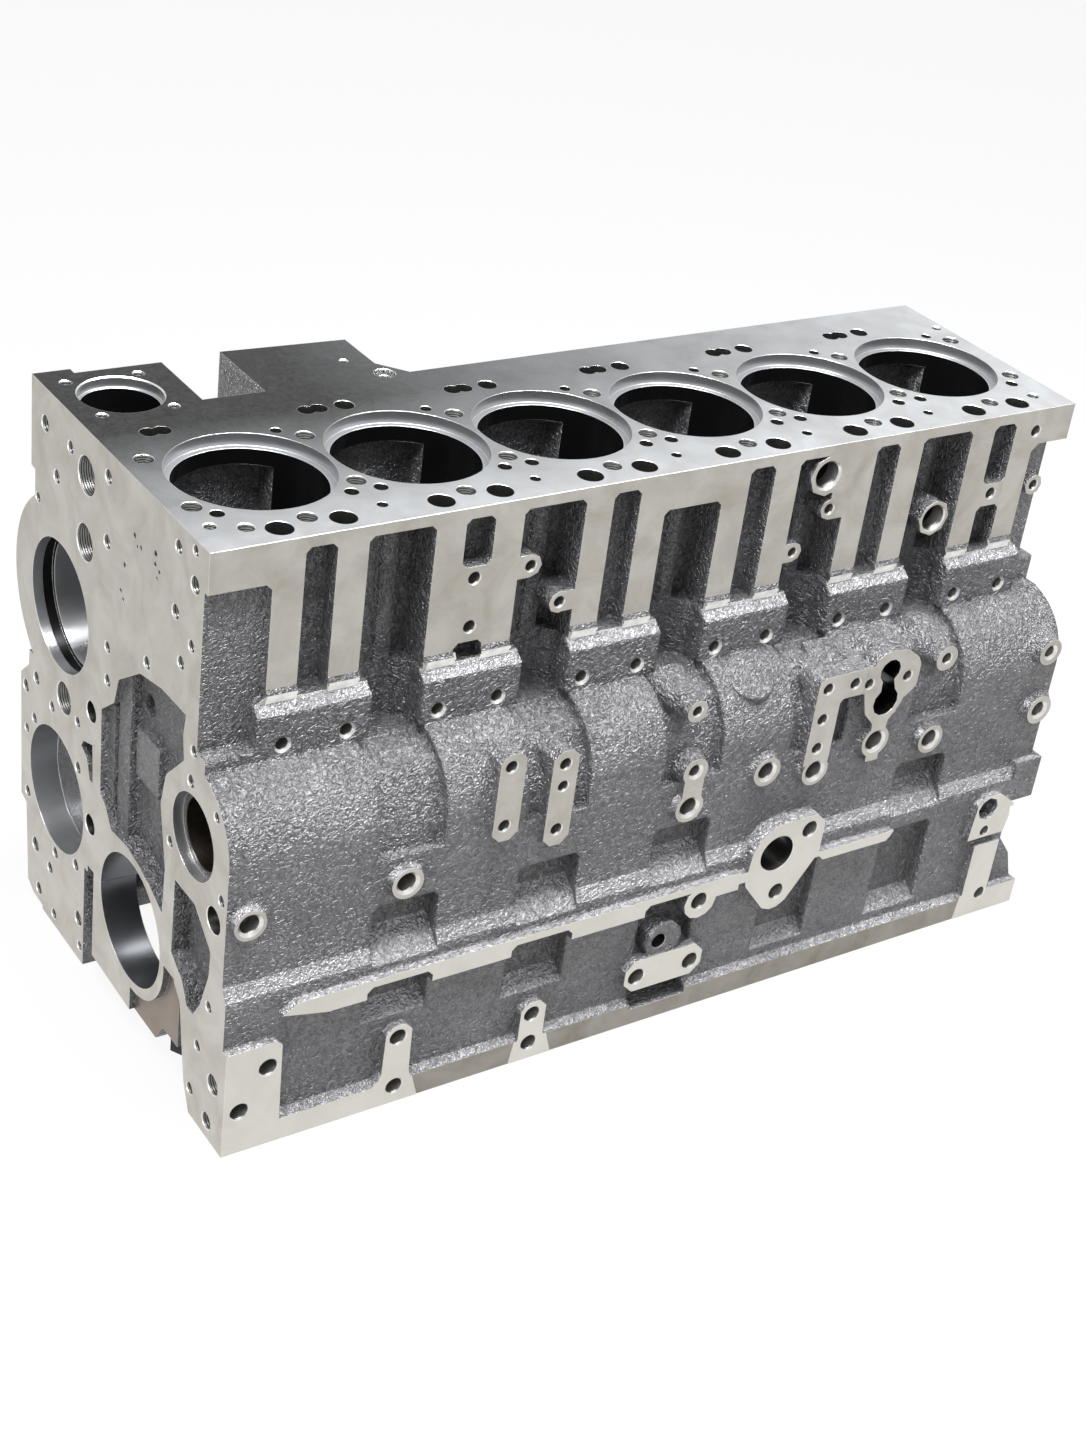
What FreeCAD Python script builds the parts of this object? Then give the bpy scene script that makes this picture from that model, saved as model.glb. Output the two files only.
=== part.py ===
import FreeCAD, Part
import math
import os
import Sketcher
from FreeCAD import Placement, Rotation, Vector

# Cylinder block of an in-line six with wet liners, a deep skirt and the camshaft in the block.
# Frame: the crankshaft axis is the X axis, with X = 0 on the front machined face and +X to the rear.
# +Y is the side away from the camshaft, +Z is up, and all lengths are in millimetres.

document = FreeCAD.newDocument("cylinder_block")
sheet = document.addObject("Spreadsheet::Sheet", "Sizes")
CYLINDERS = 6
WEBS = CYLINDERS + 1


# Small rounded corners of the casting are straight bevels, and the smallest ones are left sharp
BEVEL_FROM = 7.0
ROUND_FROM = 21.0
BEVEL_SHARE = 0.6
# Holes and bosses that repeat are drawn with flat sides, and so are the hidden bearing bores and the plugs
HOLE_SIDES = 8
BOSS_SIDES = 12
PLUG_SIDES = 16
# How far a body that cuts runs on past the metal it leaves
PAST = 20


class Size:
    """A length that keeps both its number and the spreadsheet expression it comes from."""

    def __init__(self, number, text):
        self.number = number
        self.text = text

    def __add__(self, other):
        return Size(self.number + number(other), f"({self.text} + {words(other)})")

    def __sub__(self, other):
        return Size(self.number - number(other), f"({self.text} - {words(other)})")

    def __mul__(self, other):
        return Size(self.number * number(other), f"({self.text} * {words(other)})")

    def __truediv__(self, other):
        return Size(self.number / number(other), f"({self.text} / {words(other)})")

    def __radd__(self, other):
        return self + other

    def __rmul__(self, other):
        return self * other

    def __rsub__(self, other):
        return self * -1 + other

    def __neg__(self):
        return self * -1


def number(value):
    return value.number if isinstance(value, Size) else float(value)


def words(value):
    return value.text if isinstance(value, Size) else f"({float(value)!r})"


next_row = 1


def size(alias, value, note):
    """One named dimension: a row of the sheet with its alias, its number and what it measures."""
    global next_row
    sheet.set(f"A{next_row}", alias)
    sheet.set(f"B{next_row}", str(value))
    sheet.setAlias(f"B{next_row}", alias)
    sheet.set(f"C{next_row}", note)
    next_row += 1
    return Size(float(value), f"Sizes.{alias}")


def bind(thing, prop, value):
    """Sets a property to a number, or ties it to the sheet where the value comes from there."""
    if isinstance(value, Size):
        thing.setExpression(prop, value.text)
    elif "." not in prop:
        setattr(thing, prop, value)


def put(thing, x, y, z, rotation=None):
    thing.Placement = Placement(Vector(number(x), number(y), number(z)), rotation or Rotation())
    for axis, value in (("x", x), ("y", y), ("z", z)):
        bind(thing, f"Placement.Base.{axis}", value)
    return thing


ALONG = {
    "+X": Rotation(Vector(0, 0, 1), Vector(1, 0, 0)),
    "-X": Rotation(Vector(0, 0, 1), Vector(-1, 0, 0)),
    "+Y": Rotation(Vector(0, 0, 1), Vector(0, 1, 0)),
    "-Y": Rotation(Vector(0, 0, 1), Vector(0, -1, 0)),
    "+Z": Rotation(),
    "-Z": Rotation(Vector(0, 0, 1), Vector(0, 0, -1)),
}
PLANES = {
    "YZ": Rotation(Vector(0, 1, 0), Vector(0, 0, 1), Vector(1, 0, 0), "ZXY"),
    "XZ": Rotation(Vector(1, 0, 0), Vector(0, 0, 1), Vector(0, -1, 0), "ZXY"),
    "XY": Rotation(),
}


def cylinder(name, way, x, y, z, radius, length):
    """A round bar that starts at a point and runs along one of the six ways."""
    bar = document.addObject("Part::Cylinder", name)
    bind(bar, "Radius", radius)
    bind(bar, "Height", length)
    return put(bar, x, y, z, ALONG[way])


def prism(name, way, x, y, z, radius, length, sides=HOLE_SIDES):
    """A bar with flat sides, for small holes and bosses that repeat."""
    bar = document.addObject("Part::Prism", name)
    bar.Polygon = sides
    bind(bar, "Circumradius", radius)
    bind(bar, "Height", length)
    return put(bar, x, y, z, ALONG[way])


def box(name, x_span, y_span, z_span):
    block = document.addObject("Part::Box", name)
    for prop, (low, high) in zip(("Length", "Width", "Height"), (x_span, y_span, z_span)):
        bind(block, prop, high - low)
    return put(block, x_span[0], y_span[0], z_span[0])


def pin_point(sketch, geometry, point, u, v):
    """Holds a point of the sketch at u, v from the sketch's origin."""
    for kind, value in (("DistanceX", u), ("DistanceY", v)):
        index = sketch.addConstraint(Sketcher.Constraint(kind, -1, 1, geometry, point, number(value)))
        if isinstance(value, Size):
            sketch.setExpression(f"Constraints[{index}]", value.text)


def draw_circle(sketch, u, v, radius):
    round_line = Part.Circle(Vector(number(u), number(v), 0), Vector(0, 0, 1), number(radius))
    geometry = sketch.addGeometry(round_line, False)
    pin_point(sketch, geometry, 3, u, v)
    index = sketch.addConstraint(Sketcher.Constraint("Radius", geometry, number(radius)))
    if isinstance(radius, Size):
        sketch.setExpression(f"Constraints[{index}]", radius.text)


def draw_outline(sketch, corners):
    """A closed outline of straight lines. A corner is (u, v), or (u, v, radius) where it is rounded."""
    points = [Vector(number(c[0]), number(c[1]), 0) for c in corners]
    count = len(points)
    starts, ends, arcs, bevels = [], [], {}, {}
    for i, (corner, point) in enumerate(zip(corners, points)):
        before = (points[i - 1] - point).normalize()
        after = (points[(i + 1) % count] - point).normalize()
        if len(corner) == 2 or number(corner[2]) < BEVEL_FROM:
            ends.append(point)
            starts.append(point)
            continue
        radius = number(corner[2])
        half = before.getAngle(after) / 2
        reach = radius / math.tan(half)
        if radius < ROUND_FROM:
            ends.append(point + before * (reach * BEVEL_SHARE))
            starts.append(point + after * (reach * BEVEL_SHARE))
            bevels[i] = reach * BEVEL_SHARE
            continue
        middle = point + (before + after).normalize() * (radius / math.sin(half))
        ends.append(point + before * reach)
        starts.append(point + after * reach)
        arcs[i] = (middle, radius, before.cross(after).z)
    lines = [
        sketch.addGeometry(Part.LineSegment(starts[i], ends[(i + 1) % count]), False) for i in range(count)
    ]
    for i, corner in enumerate(corners):
        line_in, line_out = lines[i - 1], lines[i]
        if i in bevels:
            bevel = sketch.addGeometry(Part.LineSegment(ends[i], starts[i]), False)
            sketch.addConstraint(Sketcher.Constraint("Coincident", line_in, 2, bevel, 1))
            sketch.addConstraint(Sketcher.Constraint("Coincident", bevel, 2, line_out, 1))
            mark = sketch.addGeometry(Part.Point(points[i]), True)
            pin_point(sketch, mark, 1, corner[0], corner[1])
            for line, end in ((line_in, 2), (line_out, 1)):
                sketch.addConstraint(Sketcher.Constraint("PointOnObject", mark, 1, line))
                sketch.addConstraint(Sketcher.Constraint("Distance", mark, 1, line, end, bevels[i]))
            continue
        if i not in arcs:
            sketch.addConstraint(Sketcher.Constraint("Coincident", line_in, 2, line_out, 1))
            pin_point(sketch, line_out, 1, corner[0], corner[1])
            continue
        middle, radius, turn = arcs[i]
        first = math.atan2(ends[i].y - middle.y, ends[i].x - middle.x)
        last = math.atan2(starts[i].y - middle.y, starts[i].x - middle.x)
        whole = Part.Circle(middle, Vector(0, 0, 1), radius)
        left_turn = turn < 0
        arc = Part.ArcOfCircle(whole, first, last) if left_turn else Part.ArcOfCircle(whole, last, first)
        curve = sketch.addGeometry(arc, False)
        near, far = (1, 2) if left_turn else (2, 1)
        sketch.addConstraint(Sketcher.Constraint("Tangent", line_in, 2, curve, near))
        sketch.addConstraint(Sketcher.Constraint("Tangent", curve, far, line_out, 1))
        index = sketch.addConstraint(Sketcher.Constraint("Radius", curve, radius))
        if isinstance(corner[2], Size):
            sketch.setExpression(f"Constraints[{index}]", corner[2].text)
        mark = sketch.addGeometry(Part.Point(points[i]), True)
        pin_point(sketch, mark, 1, corner[0], corner[1])
        sketch.addConstraint(Sketcher.Constraint("PointOnObject", mark, 1, line_in))
        sketch.addConstraint(Sketcher.Constraint("PointOnObject", mark, 1, line_out))


def sketch_on(plane, offset, name, outlines=(), circles=()):
    """A sketch parallel to two axes. YZ looks along +X, XZ along -Y and XY along +Z."""
    sketch = document.addObject("Sketcher::SketchObject", name)
    for corners in outlines:
        draw_outline(sketch, corners)
    for u, v, radius in circles:
        draw_circle(sketch, u, v, radius)
    place = {"YZ": (offset, 0, 0), "XZ": (0, offset, 0), "XY": (0, 0, offset)}[plane]
    put(sketch, *place, PLANES[plane])
    return sketch


def extrude(name, sketch, length):
    """A solid from a sketch, along the sketch's normal, or against it where the length is below zero."""
    solid = document.addObject("Part::Extrusion", name)
    solid.Base = sketch
    solid.DirMode = "Normal"
    solid.Solid = True
    solid.Reversed = number(length) < 0
    bind(solid, "LengthFwd", length if number(length) > 0 else -length)
    return solid


def rounded(u_span, v_span, radius):
    (left, right), (low, high) = u_span, v_span
    return [(left, low, radius), (right, low, radius), (right, high, radius), (left, high, radius)]


def fuse(name, shapes):
    joined = document.addObject("Part::MultiFuse", name)
    joined.Shapes = shapes
    joined.Refine = False
    return joined


def group(name, shapes):
    together = document.addObject("Part::Compound", name)
    together.Links = shapes
    return together


def cut(name, base, tool, refine=False):
    result = document.addObject("Part::Cut", name)
    result.Base = base
    result.Tool = tool
    result.Refine = refine
    return result


# Driving dimensions

block_length = size("block_length", 845, "front face to the rear edge of the deck")
bore_pitch = size("bore_pitch", 135, "from one cylinder to the next")
first_bore = size("first_bore", 86.5, "front face to the axis of the front cylinder")
deck_height = size("deck_height", 393, "crankshaft axis up to the deck face")
rail_drop = size("rail_drop", 110, "crankshaft axis down to the pan rail")
deck_right = size("deck_right", 109, "cylinder axis to the machined flank on the camshaft side")
deck_left = size("deck_left", 126, "cylinder axis to the other edge of the deck")
rail_reach = size("rail_reach", 179, "crankshaft axis out to the machined faces of the skirt")
skirt_reach = size("skirt_reach", 172, "crankshaft axis out to the cast wall of the skirt")
skirt_wall = size("skirt_wall", 8, "thickness of the cast skirt")
housing_inner = size("housing_inner", 143, "crankshaft axis out to the inside of the camshaft housing")
rail_width = size("rail_width", 30, "width of the pan rail's face")
web_thickness = size("web_thickness", 32, "thickness of each crankcase web")
front_wall = size("front_wall", 32, "thickness of the front wall")
register_radius = size("register_radius", 65.5, "counterbore that locates the liner's flange")
register_depth = size("register_depth", 10.5, "depth of that counterbore")
liner_bore_radius = size("liner_bore_radius", 60, "bore that holds the liner")
jacket_reach = size("jacket_reach", 68, "cylinder axis out to the side walls of the water jacket")
jacket_length = size("jacket_length", 84, "length of each cylinder's water jacket along the block")
jacket_top = size("jacket_top", 24, "deck face down to the roof of the water jacket")
jacket_floor = size("jacket_floor", 200, "crankshaft axis up to the floor of the water jacket")
crank_bore_radius = size("crank_bore_radius", 57.5, "main bearing bore")
crank_rim_radius = size("crank_rim_radius", 65, "machined rim round the front main bore")
cam_offset = size("cam_offset", 104.5, "crankshaft axis across to the camshaft axis")
cam_height = size("cam_height", 150, "crankshaft axis up to the camshaft axis")
cam_bore_radius = size("cam_bore_radius", 31.5, "camshaft bearing bore in the webs")
cam_front_radius = size("cam_front_radius", 35.5, "counterbore at the front of the camshaft bore")
cam_front_depth = size("cam_front_depth", 9, "depth of that counterbore")
cam_bulge_radius = size("cam_bulge_radius", 58, "rounding of the camshaft housing's outside")
cam_bulge_reach = size("cam_bulge_reach", 165, "crankshaft axis out to the camshaft housing's wall")
ledge_reach = size("ledge_reach", 118, "crankshaft axis out to the front of the tappet ledge")
ledge_height = size("ledge_height", 256, "crankshaft axis up to the tappet ledge")
ledge_foot = size("ledge_foot", 213, "crankshaft axis up to the foot of the tappet ledge")
roof_height = size("roof_height", 180, "crankshaft axis up to the crankcase roof")
bar_width = size("bar_width", 26, "width of each push rod column on the flank")
bar_ahead = size("bar_ahead", 23, "push rod column ahead of its cylinder's axis")
bar_behind = size("bar_behind", 29, "push rod column behind its cylinder's axis")
window_top = size("window_top", 9.5, "deck face down to the windows in the flank")
window_round = size("window_round", 7, "corner radius of the windows")
gap_depth = size("gap_depth", 37, "depth of the wide windows between cylinders")
slot_depth = size("slot_depth", 17, "depth of the narrow windows at each cylinder")
push_hole_radius = size("push_hole_radius", 10.5, "push rod passage")
push_hole_offset = size("push_hole_offset", 90.5, "cylinder axis across to the push rod passages")
head_bolt_radius = size("head_bolt_radius", 7.5, "cylinder head bolt hole")
head_bolt_right = size("head_bolt_right", 40, "cylinder axis across to the head bolts on the camshaft side")
head_bolt_left = size("head_bolt_left", 42.5, "cylinder axis across to the head bolts on the other side")
head_bolt_depth = size("head_bolt_depth", 70, "depth of the head bolt holes")
cap_reach = size("cap_reach", 84, "crankshaft axis out to each side of a main bearing cap")
cap_drop = size("cap_drop", 92, "crankshaft axis down to the bottom of a main bearing cap")
cap_thickness = size("cap_thickness", 30, "thickness of a main bearing cap along the crankshaft")
cap_shoulder = size("cap_shoulder", 72, "crankshaft axis down to the shoulders under the cap bolts' heads")
front_cap_setback = size("front_cap_setback", 6, "front face to the set-back face of the front cap")
cap_gap = size("cap_gap", 0.3, "gap at each side of a main bearing cap")
cap_bolt_offset = size("cap_bolt_offset", 71, "crankshaft axis across to a cap bolt")
cap_bolt_radius = size("cap_bolt_radius", 7, "shank of a cap bolt")
cap_bolt_grip = size("cap_bolt_grip", 52, "cap bolt's depth in the web")
idler_bore_y = size("idler_bore_y", 152, "crankshaft axis across to the lower accessory bore")
idler_bore_z = size("idler_bore_z", 34.5, "crankshaft axis up to the lower accessory bore")
idler_bore_radius = size("idler_bore_radius", 57, "lower accessory bore")
idler_bore_depth = size("idler_bore_depth", 25, "machined length of the lower accessory bore")
pump_bore_y = size("pump_bore_y", 149.5, "crankshaft axis across to the coolant pump bore")
pump_bore_z = size("pump_bore_z", 215, "crankshaft axis up to the coolant pump bore")
pump_bore_radius = size("pump_bore_radius", 57, "coolant pump bore")
pump_boss_radius = size("pump_boss_radius", 92, "outside of the coolant pump housing")
ear_length = size("ear_length", 107, "length of the coolant outlet tower at the front")
ear_reach = size("ear_reach", 202, "cylinder axis out to the side of both towers")
outlet_x = size("outlet_x", 50.5, "front face to the coolant outlet")
outlet_y = size("outlet_y", 154, "cylinder axis across to the coolant outlet")
outlet_radius = size("outlet_radius", 31, "coolant outlet bore")
tower_front = size("tower_front", 162, "front face to the second tower")
tower_rear = size("tower_rear", 276, "front face to the back of the second tower")
tower_foot = size("tower_foot", 150, "crankshaft axis up to the foot of both towers")
pad_reach = size("pad_reach", 171, "crankshaft axis out to the machined pads on the camshaft housing")
strip_low = size("strip_low", 8, "crankshaft axis up to the lower edge of the long machined strip")
strip_high = size("strip_high", 26, "crankshaft axis up to its upper edge")

rail = -rail_drop
over = 5.0


def bore_x(k):
    """Axis of cylinder k, counted from 0 at the front."""
    return first_bore + bore_pitch * k


def web_x(k):
    """Middle plane of web k, half a pitch from its cylinders."""
    return first_bore + bore_pitch * (k - 0.5)


def from_rail(height):
    return rail + height


def from_deck(depth):
    return deck_height - depth


# Outside of the casting

section = sketch_on("YZ", 0, "casting_section", [[
    (-deck_right, deck_height),
    (-deck_right, ledge_height + 14),
    (-deck_right - 4.5, ledge_height + 7),
    (-deck_right - 4.5, ledge_height + 2),
    (-ledge_reach, ledge_height, 1.5),
    (-ledge_reach, ledge_foot, 4),
    (-cam_bulge_reach, ledge_foot - 10, cam_bulge_radius),
    (-cam_bulge_reach, from_rail(161), 12),
    (-skirt_reach, from_rail(146), 12),
    (-skirt_reach, from_rail(27), 3),
    (-rail_reach, from_rail(22), 2),
    (-rail_reach, rail),
    (rail_reach, rail),
    (rail_reach, from_rail(20), 2),
    (skirt_reach, from_rail(27), 3),
    (skirt_reach, from_rail(150), 20),
    (deck_left + 24, ledge_foot - 60, 25),
    (deck_left, ledge_foot, 20),
    (deck_left, deck_height),
]])
casting = extrude("casting", section, block_length)

front_plate_outline = sketch_on("YZ", 0, "front_plate_outline", [[
    (100, rail),
    (rail_reach + 21, from_rail(5), 4),
    (rail_reach + 33.5, from_rail(12), 4),
    (rail_reach + 38, from_rail(91), 2),
    (rail_reach + 49.5, from_rail(95), 4),
    (rail_reach + 51, from_rail(219), 6),
    (rail_reach + 34, from_rail(235), 6),
    (rail_reach + 33, from_rail(250)),
    (100, from_rail(250)),
]])
front_plate = extrude("front_plate", front_plate_outline, front_wall)
pump_boss = cylinder("pump_boss", "+X", 0, pump_bore_y, pump_bore_z, pump_boss_radius, ear_length)
front_ear_outline = sketch_on("YZ", 0, "front_ear_outline", [[
    (deck_left - 20, tower_foot),
    (rail_reach + 33, tower_foot),
    (ear_reach + 6, from_deck(110), 3),
    (ear_reach, from_deck(105), 2),
    (ear_reach - 2, from_deck(80), 2),
    (ear_reach + 8, from_deck(79), 2),
    (ear_reach + 8, deck_height),
    (deck_left - 20, deck_height),
]])
front_ear = extrude("front_ear", front_ear_outline, front_wall)
ear = box("ear", (0, ear_length), (deck_left - 20, ear_reach), (tower_foot + 40, deck_height))
tower_outline = sketch_on("XY", tower_foot + 60, "tower_outline", [[
    (tower_front, deck_left - 20),
    (tower_front, ear_reach + 6),
    (tower_rear, ear_reach),
    (tower_rear, deck_left + 24, 4),
    (tower_rear + 20, deck_left, 6),
    (tower_rear + 20, deck_left - 20),
]])
tower = extrude("tower", tower_outline, deck_height - tower_foot - 60)
tower_root_outline = sketch_on("YZ", tower_front, "tower_root_outline", [[
    (deck_left - 30, tower_foot - 20),
    (deck_left + 30, tower_foot - 20),
    (ear_reach, tower_foot + 60),
    (deck_left - 30, tower_foot + 60),
]])
tower_root = extrude("tower_root", tower_root_outline, tower_rear - tower_front)
rear_flange = box("rear_flange", (block_length - 25, block_length + 7), (-skirt_reach, skirt_reach),
                  (rail, from_rail(165)))
rear_foot = box("rear_foot", (block_length - 68, block_length + 9), (-rail_reach, rail_reach),
                (rail, from_rail(26)))

# Machined pads on the lower flank, all in the plane of the pan rail's edge

pad_depth = 14.0
front_pad = [
    (0, rail),
    (bore_x(0) + 91, rail),
    (web_x(1) + 14, from_rail(30), 8),
    (web_x(1) + 13, from_rail(81), 12),
    (web_x(1) - 11, from_rail(81), 12),
    (web_x(1) - 12, from_rail(30), 16),
    (web_x(1) - 26, from_rail(16), 10),
    (50, from_rail(16), 8),
    (48, from_rail(103), 8),
    (0, from_rail(103)),
]
second_pillar = [
    (web_x(2) - 19, rail),
    (web_x(2) + 21, rail),
    (web_x(2) + 11, from_rail(25), 6),
    (web_x(2) + 11, from_rail(61), 12),
    (web_x(2) - 14, from_rail(61), 12),
    (web_x(2) - 14, from_rail(25), 6),
]
rear_bar = [
    (block_length - 66, rail),
    (block_length - 30, rail),
    (block_length - 30, from_rail(84)),
    (block_length - 62, from_rail(84)),
    (block_length - 62, from_rail(16), 4),
]
two_hole_pad = rounded((bore_x(2) + 24.5, bore_x(3) - 28), (from_rail(38), from_rail(71)), 16)
lower_pads = extrude(
    "lower_pads",
    sketch_on("XZ", -rail_reach, "lower_pad_outlines", [front_pad, second_pillar, rear_bar, two_hole_pad]),
    -pad_depth,
)
strip_outline = [
    (46, strip_low + 9),
    (60, strip_high, 4),
    (bore_x(3), strip_high),
    (bore_x(3), strip_low),
    (bore_x(0), strip_low),
]
rear_strip_outline = [
    (bore_x(3), strip_low + 6),
    (bore_x(5) - 99, strip_low + 6),
    (bore_x(5) - 93, strip_high - 2),
    (bore_x(3), strip_high - 2),
]
strips = extrude(
    "strips",
    sketch_on("XZ", -rail_reach, "strip_outlines", [strip_outline]),
    -pad_depth,
)
rear_strip = extrude(
    "rear_strip", sketch_on("XZ", -rail_reach, "rear_strip_outline", [rear_strip_outline]), -pad_depth
)
drain_x = bore_x(3) + 38
drain_z = from_rail(146)
flange_outline = [
    (drain_x - 31, from_rail(120), 10),
    (drain_x - 26, from_rail(178), 34),
    (drain_x + 50, from_rail(178), 18),
    (drain_x + 50, from_rail(134), 14),
    (drain_x + 17, from_rail(86), 19),
    (drain_x - 2, from_rail(84), 17),
]
drain_flange = extrude(
    "drain_flange", sketch_on("XZ", -rail_reach, "drain_flange_outline", [flange_outline]), -pad_depth * 1.6
)
lug = prism(
    "strip_lug_boss", "+Y", bore_x(3) - 41, -rail_reach, from_rail(117), 17, pad_depth * 2, BOSS_SIDES
)
rear_pad_outline = [
    (block_length - 74, from_rail(93), 5),
    (block_length - 29, from_rail(93), 5),
    (block_length - 23, from_rail(124), 6),
    (block_length - 44, from_rail(140), 16),
    (block_length - 70, from_rail(140), 16),
]
rear_pad = extrude(
    "rear_pad", sketch_on("XZ", -rail_reach, "rear_pad_outline", [rear_pad_outline]), -pad_depth * 1.6
)
sensor_boss = prism(
    "sensor_boss", "+Y", bore_x(2) + 62, -rail_reach + 2, from_rail(84), 19, pad_depth * 2, BOSS_SIDES
)

# Machined pads and bosses on the camshaft housing

pad_a = rounded((web_x(2) - 62, web_x(2) - 38), (cam_height - 26, cam_height + 56), 11.8)
pad_b = rounded((web_x(2) - 11.5, web_x(2) + 13), (cam_height - 44, cam_height + 47), 12)
port_x = bore_x(4)
cooler_left = [
    (port_x - 80.5, cam_height - 30, 13),
    (port_x - 53, cam_height - 30, 13),
    (port_x - 53, cam_height + 30.5, 6),
    (port_x - 28, cam_height + 30.5, 6),
    (port_x + 16, cam_height - 8, 8),
    (port_x + 18, cam_height + 56, 4),
    (port_x - 80.5, cam_height + 56, 8),
]
cooler_neck = [
    (port_x - 7, cam_height - 45),
    (port_x + 7, cam_height - 45),
    (port_x + 7, cam_height - 8, 8),
    (port_x + 20, cam_height + 10, 14),
    (port_x + 33, cam_height + 44, 14),
    (port_x - 20, cam_height + 30),
    (port_x - 7, cam_height - 8, 8),
]
slot_pads = extrude("slot_pads", sketch_on("XZ", -pad_reach, "slot_pad_outlines", [pad_a, pad_b]), -45.0)
cooler_pad = extrude("cooler_pad", sketch_on("XZ", -pad_reach, "cooler_pad_outline", [cooler_left]), -40.0)
cooler_web = extrude("cooler_web", sketch_on("XZ", -pad_reach, "cooler_web_outline", [cooler_neck]), -40.0)
two_lobe_web = box(
    "two_lobe_web",
    (web_x(3) - 8, web_x(3) + 12), (-pad_reach, -pad_reach + 30), (cam_height - 55, cam_height - 16),
)
# x, height above the camshaft axis, outer radius
HOUSING_BOSSES = [
    ("front", web_x(0) - 1.5, -43, 13.5),
    ("second", web_x(1) - 1, -43, 14),
    ("fourth", web_x(3) + 1.5, -43, 14),
    ("fourth_upper", web_x(3) + 1.5, -7, 12.5),
    ("cylinder_four", bore_x(3) + 14, -27, 14),
    ("fifth", web_x(4) + 2, -40, 14),
    ("cooler_drain", port_x, -25, 15),
    ("cooler_outlet", port_x + 1, 32, 18),
    ("cooler_lug", port_x + 21, 48, 12),
    ("sixth", web_x(5) + 1.5, -39, 14),
    ("rear_upper", web_x(6) - 2.5, 24, 13),
    ("rear", web_x(6) + 2.5, -39, 14.5),
]
housing_bosses = [
    prism(f"{name}_boss", "+Y", x, -pad_reach, cam_height + rise, radius, 42, BOSS_SIDES)
    for name, x, rise, radius in HOUSING_BOSSES
]
upper_bosses = [
    prism("oil_boss", "+Y", web_x(3) - 4.5, -pad_reach + 4, cam_height + 51, 10, 46),
    prism("switch_boss", "+Y", web_x(5) + 2.5, -pad_reach + 4, cam_height + 43, 12, 46),
]

# Left flank: oil gallery, ribs and the mounting pads

gallery_y = deck_left + 13
gallery_z = 133.0
gallery = prism("gallery", "+X", 0, gallery_y, gallery_z, 24, block_length, BOSS_SIDES)
left_ribs = [
    box(f"left_rib_{k + 1}", (web_x(k) - 5, web_x(k) + 5), (deck_left - 10, deck_left + 7),
        (ledge_foot - 5, from_deck(12)))
    for k in range(3, WEBS - 1)
]
left_pads = [
    box(f"mount_pad_{k}", (bore_x(k) - 62, bore_x(k) + 62), (skirt_reach - 20, rail_reach), (-60, 20))
    for k in (1, 4)
]
left_band = box(
    "left_band",
    (tower_rear, block_length), (deck_left - 10, deck_left + 6), (from_deck(40), from_deck(14)),
)

positive = fuse("rough_casting", [
    casting, front_plate, pump_boss, front_ear, ear, tower, tower_root, rear_flange, rear_foot, lower_pads,
    strips, rear_strip, drain_flange, lug, rear_pad, sensor_boss, slot_pads, cooler_pad, cooler_web,
    two_lobe_web, gallery, left_band, *housing_bosses, *upper_bosses, *left_ribs, *left_pads,
])
# Inside: crankcase bays, liner bores and water jackets

bay_length = bore_pitch - web_thickness
bay_inner = skirt_reach - skirt_wall
bay_outline = [
    (-(rail_reach - rail_width), rail - over),
    (-(rail_reach - rail_width), from_rail(128)),
    (-housing_inner, from_rail(150)),
    (-housing_inner, cam_height + 16),
    (-(cam_offset + 16), cam_height + 46),
    (-(cam_offset - 26), cam_height + 46),
    (-(cam_offset - 30), roof_height),
    (deck_left - 48, roof_height),
    (deck_left - 4, roof_height - 46),
    (deck_left + 22, from_rail(170)),
    (bay_inner, from_rail(128)),
    (bay_inner, from_rail(34)),
    (rail_reach - rail_width, from_rail(20)),
    (rail_reach - rail_width, rail - over),
]
bays = [
    extrude(
        f"bay_{k + 1}",
        sketch_on("YZ", bore_x(k) - bay_length / 2, f"bay_{k + 1}_outline", [bay_outline]),
        bay_length,
    )
    for k in range(CYLINDERS)
]
cap_channel = box(
    "cap_channel",
    (front_wall, block_length + PAST), (-(cap_reach + cap_gap), cap_reach + cap_gap), (rail - over, 0),
)
crank_bore = cylinder("crank_bore", "+X", -over, 0, 0, crank_bore_radius, block_length + PAST)
rear_seal_seat = cylinder("rear_seal_seat", "+X", block_length, 0, 0, crank_rim_radius, 20)
cam_bore = cylinder("cam_bore", "+X", -over, -cam_offset, cam_height, cam_bore_radius, first_bore)
rear_cam_bores = prism("rear_cam_bores", "+X", first_bore, -cam_offset, cam_height, cam_bore_radius,
                       block_length, PLUG_SIDES)
cam_front = cylinder(
    "cam_front", "+X", -over, -cam_offset, cam_height, cam_front_radius, over + cam_front_depth
)

liner_bores = []
jackets = []
for k in range(CYLINDERS):
    x = bore_x(k)
    liner_bores += [
        cylinder(
            f"register_{k + 1}", "+Z", x, 0, from_deck(register_depth), register_radius, register_depth + over
        ),
        cylinder(
            f"liner_bore_{k + 1}", "+Z", x, 0, roof_height - over,
            liner_bore_radius, deck_height - roof_height + over,
        ),
    ]
    jackets.append(box(
        f"jacket_{k + 1}", (x - jacket_length / 2, x + jacket_length / 2), (-jacket_reach, jacket_reach),
        (jacket_floor, from_deck(jacket_top)),
    ))
coolant_rail = box("coolant_rail", (48, block_length - 40), (82, deck_left - 12), (230, from_deck(32)))

# Windows in the camshaft side's upper flank

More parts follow.
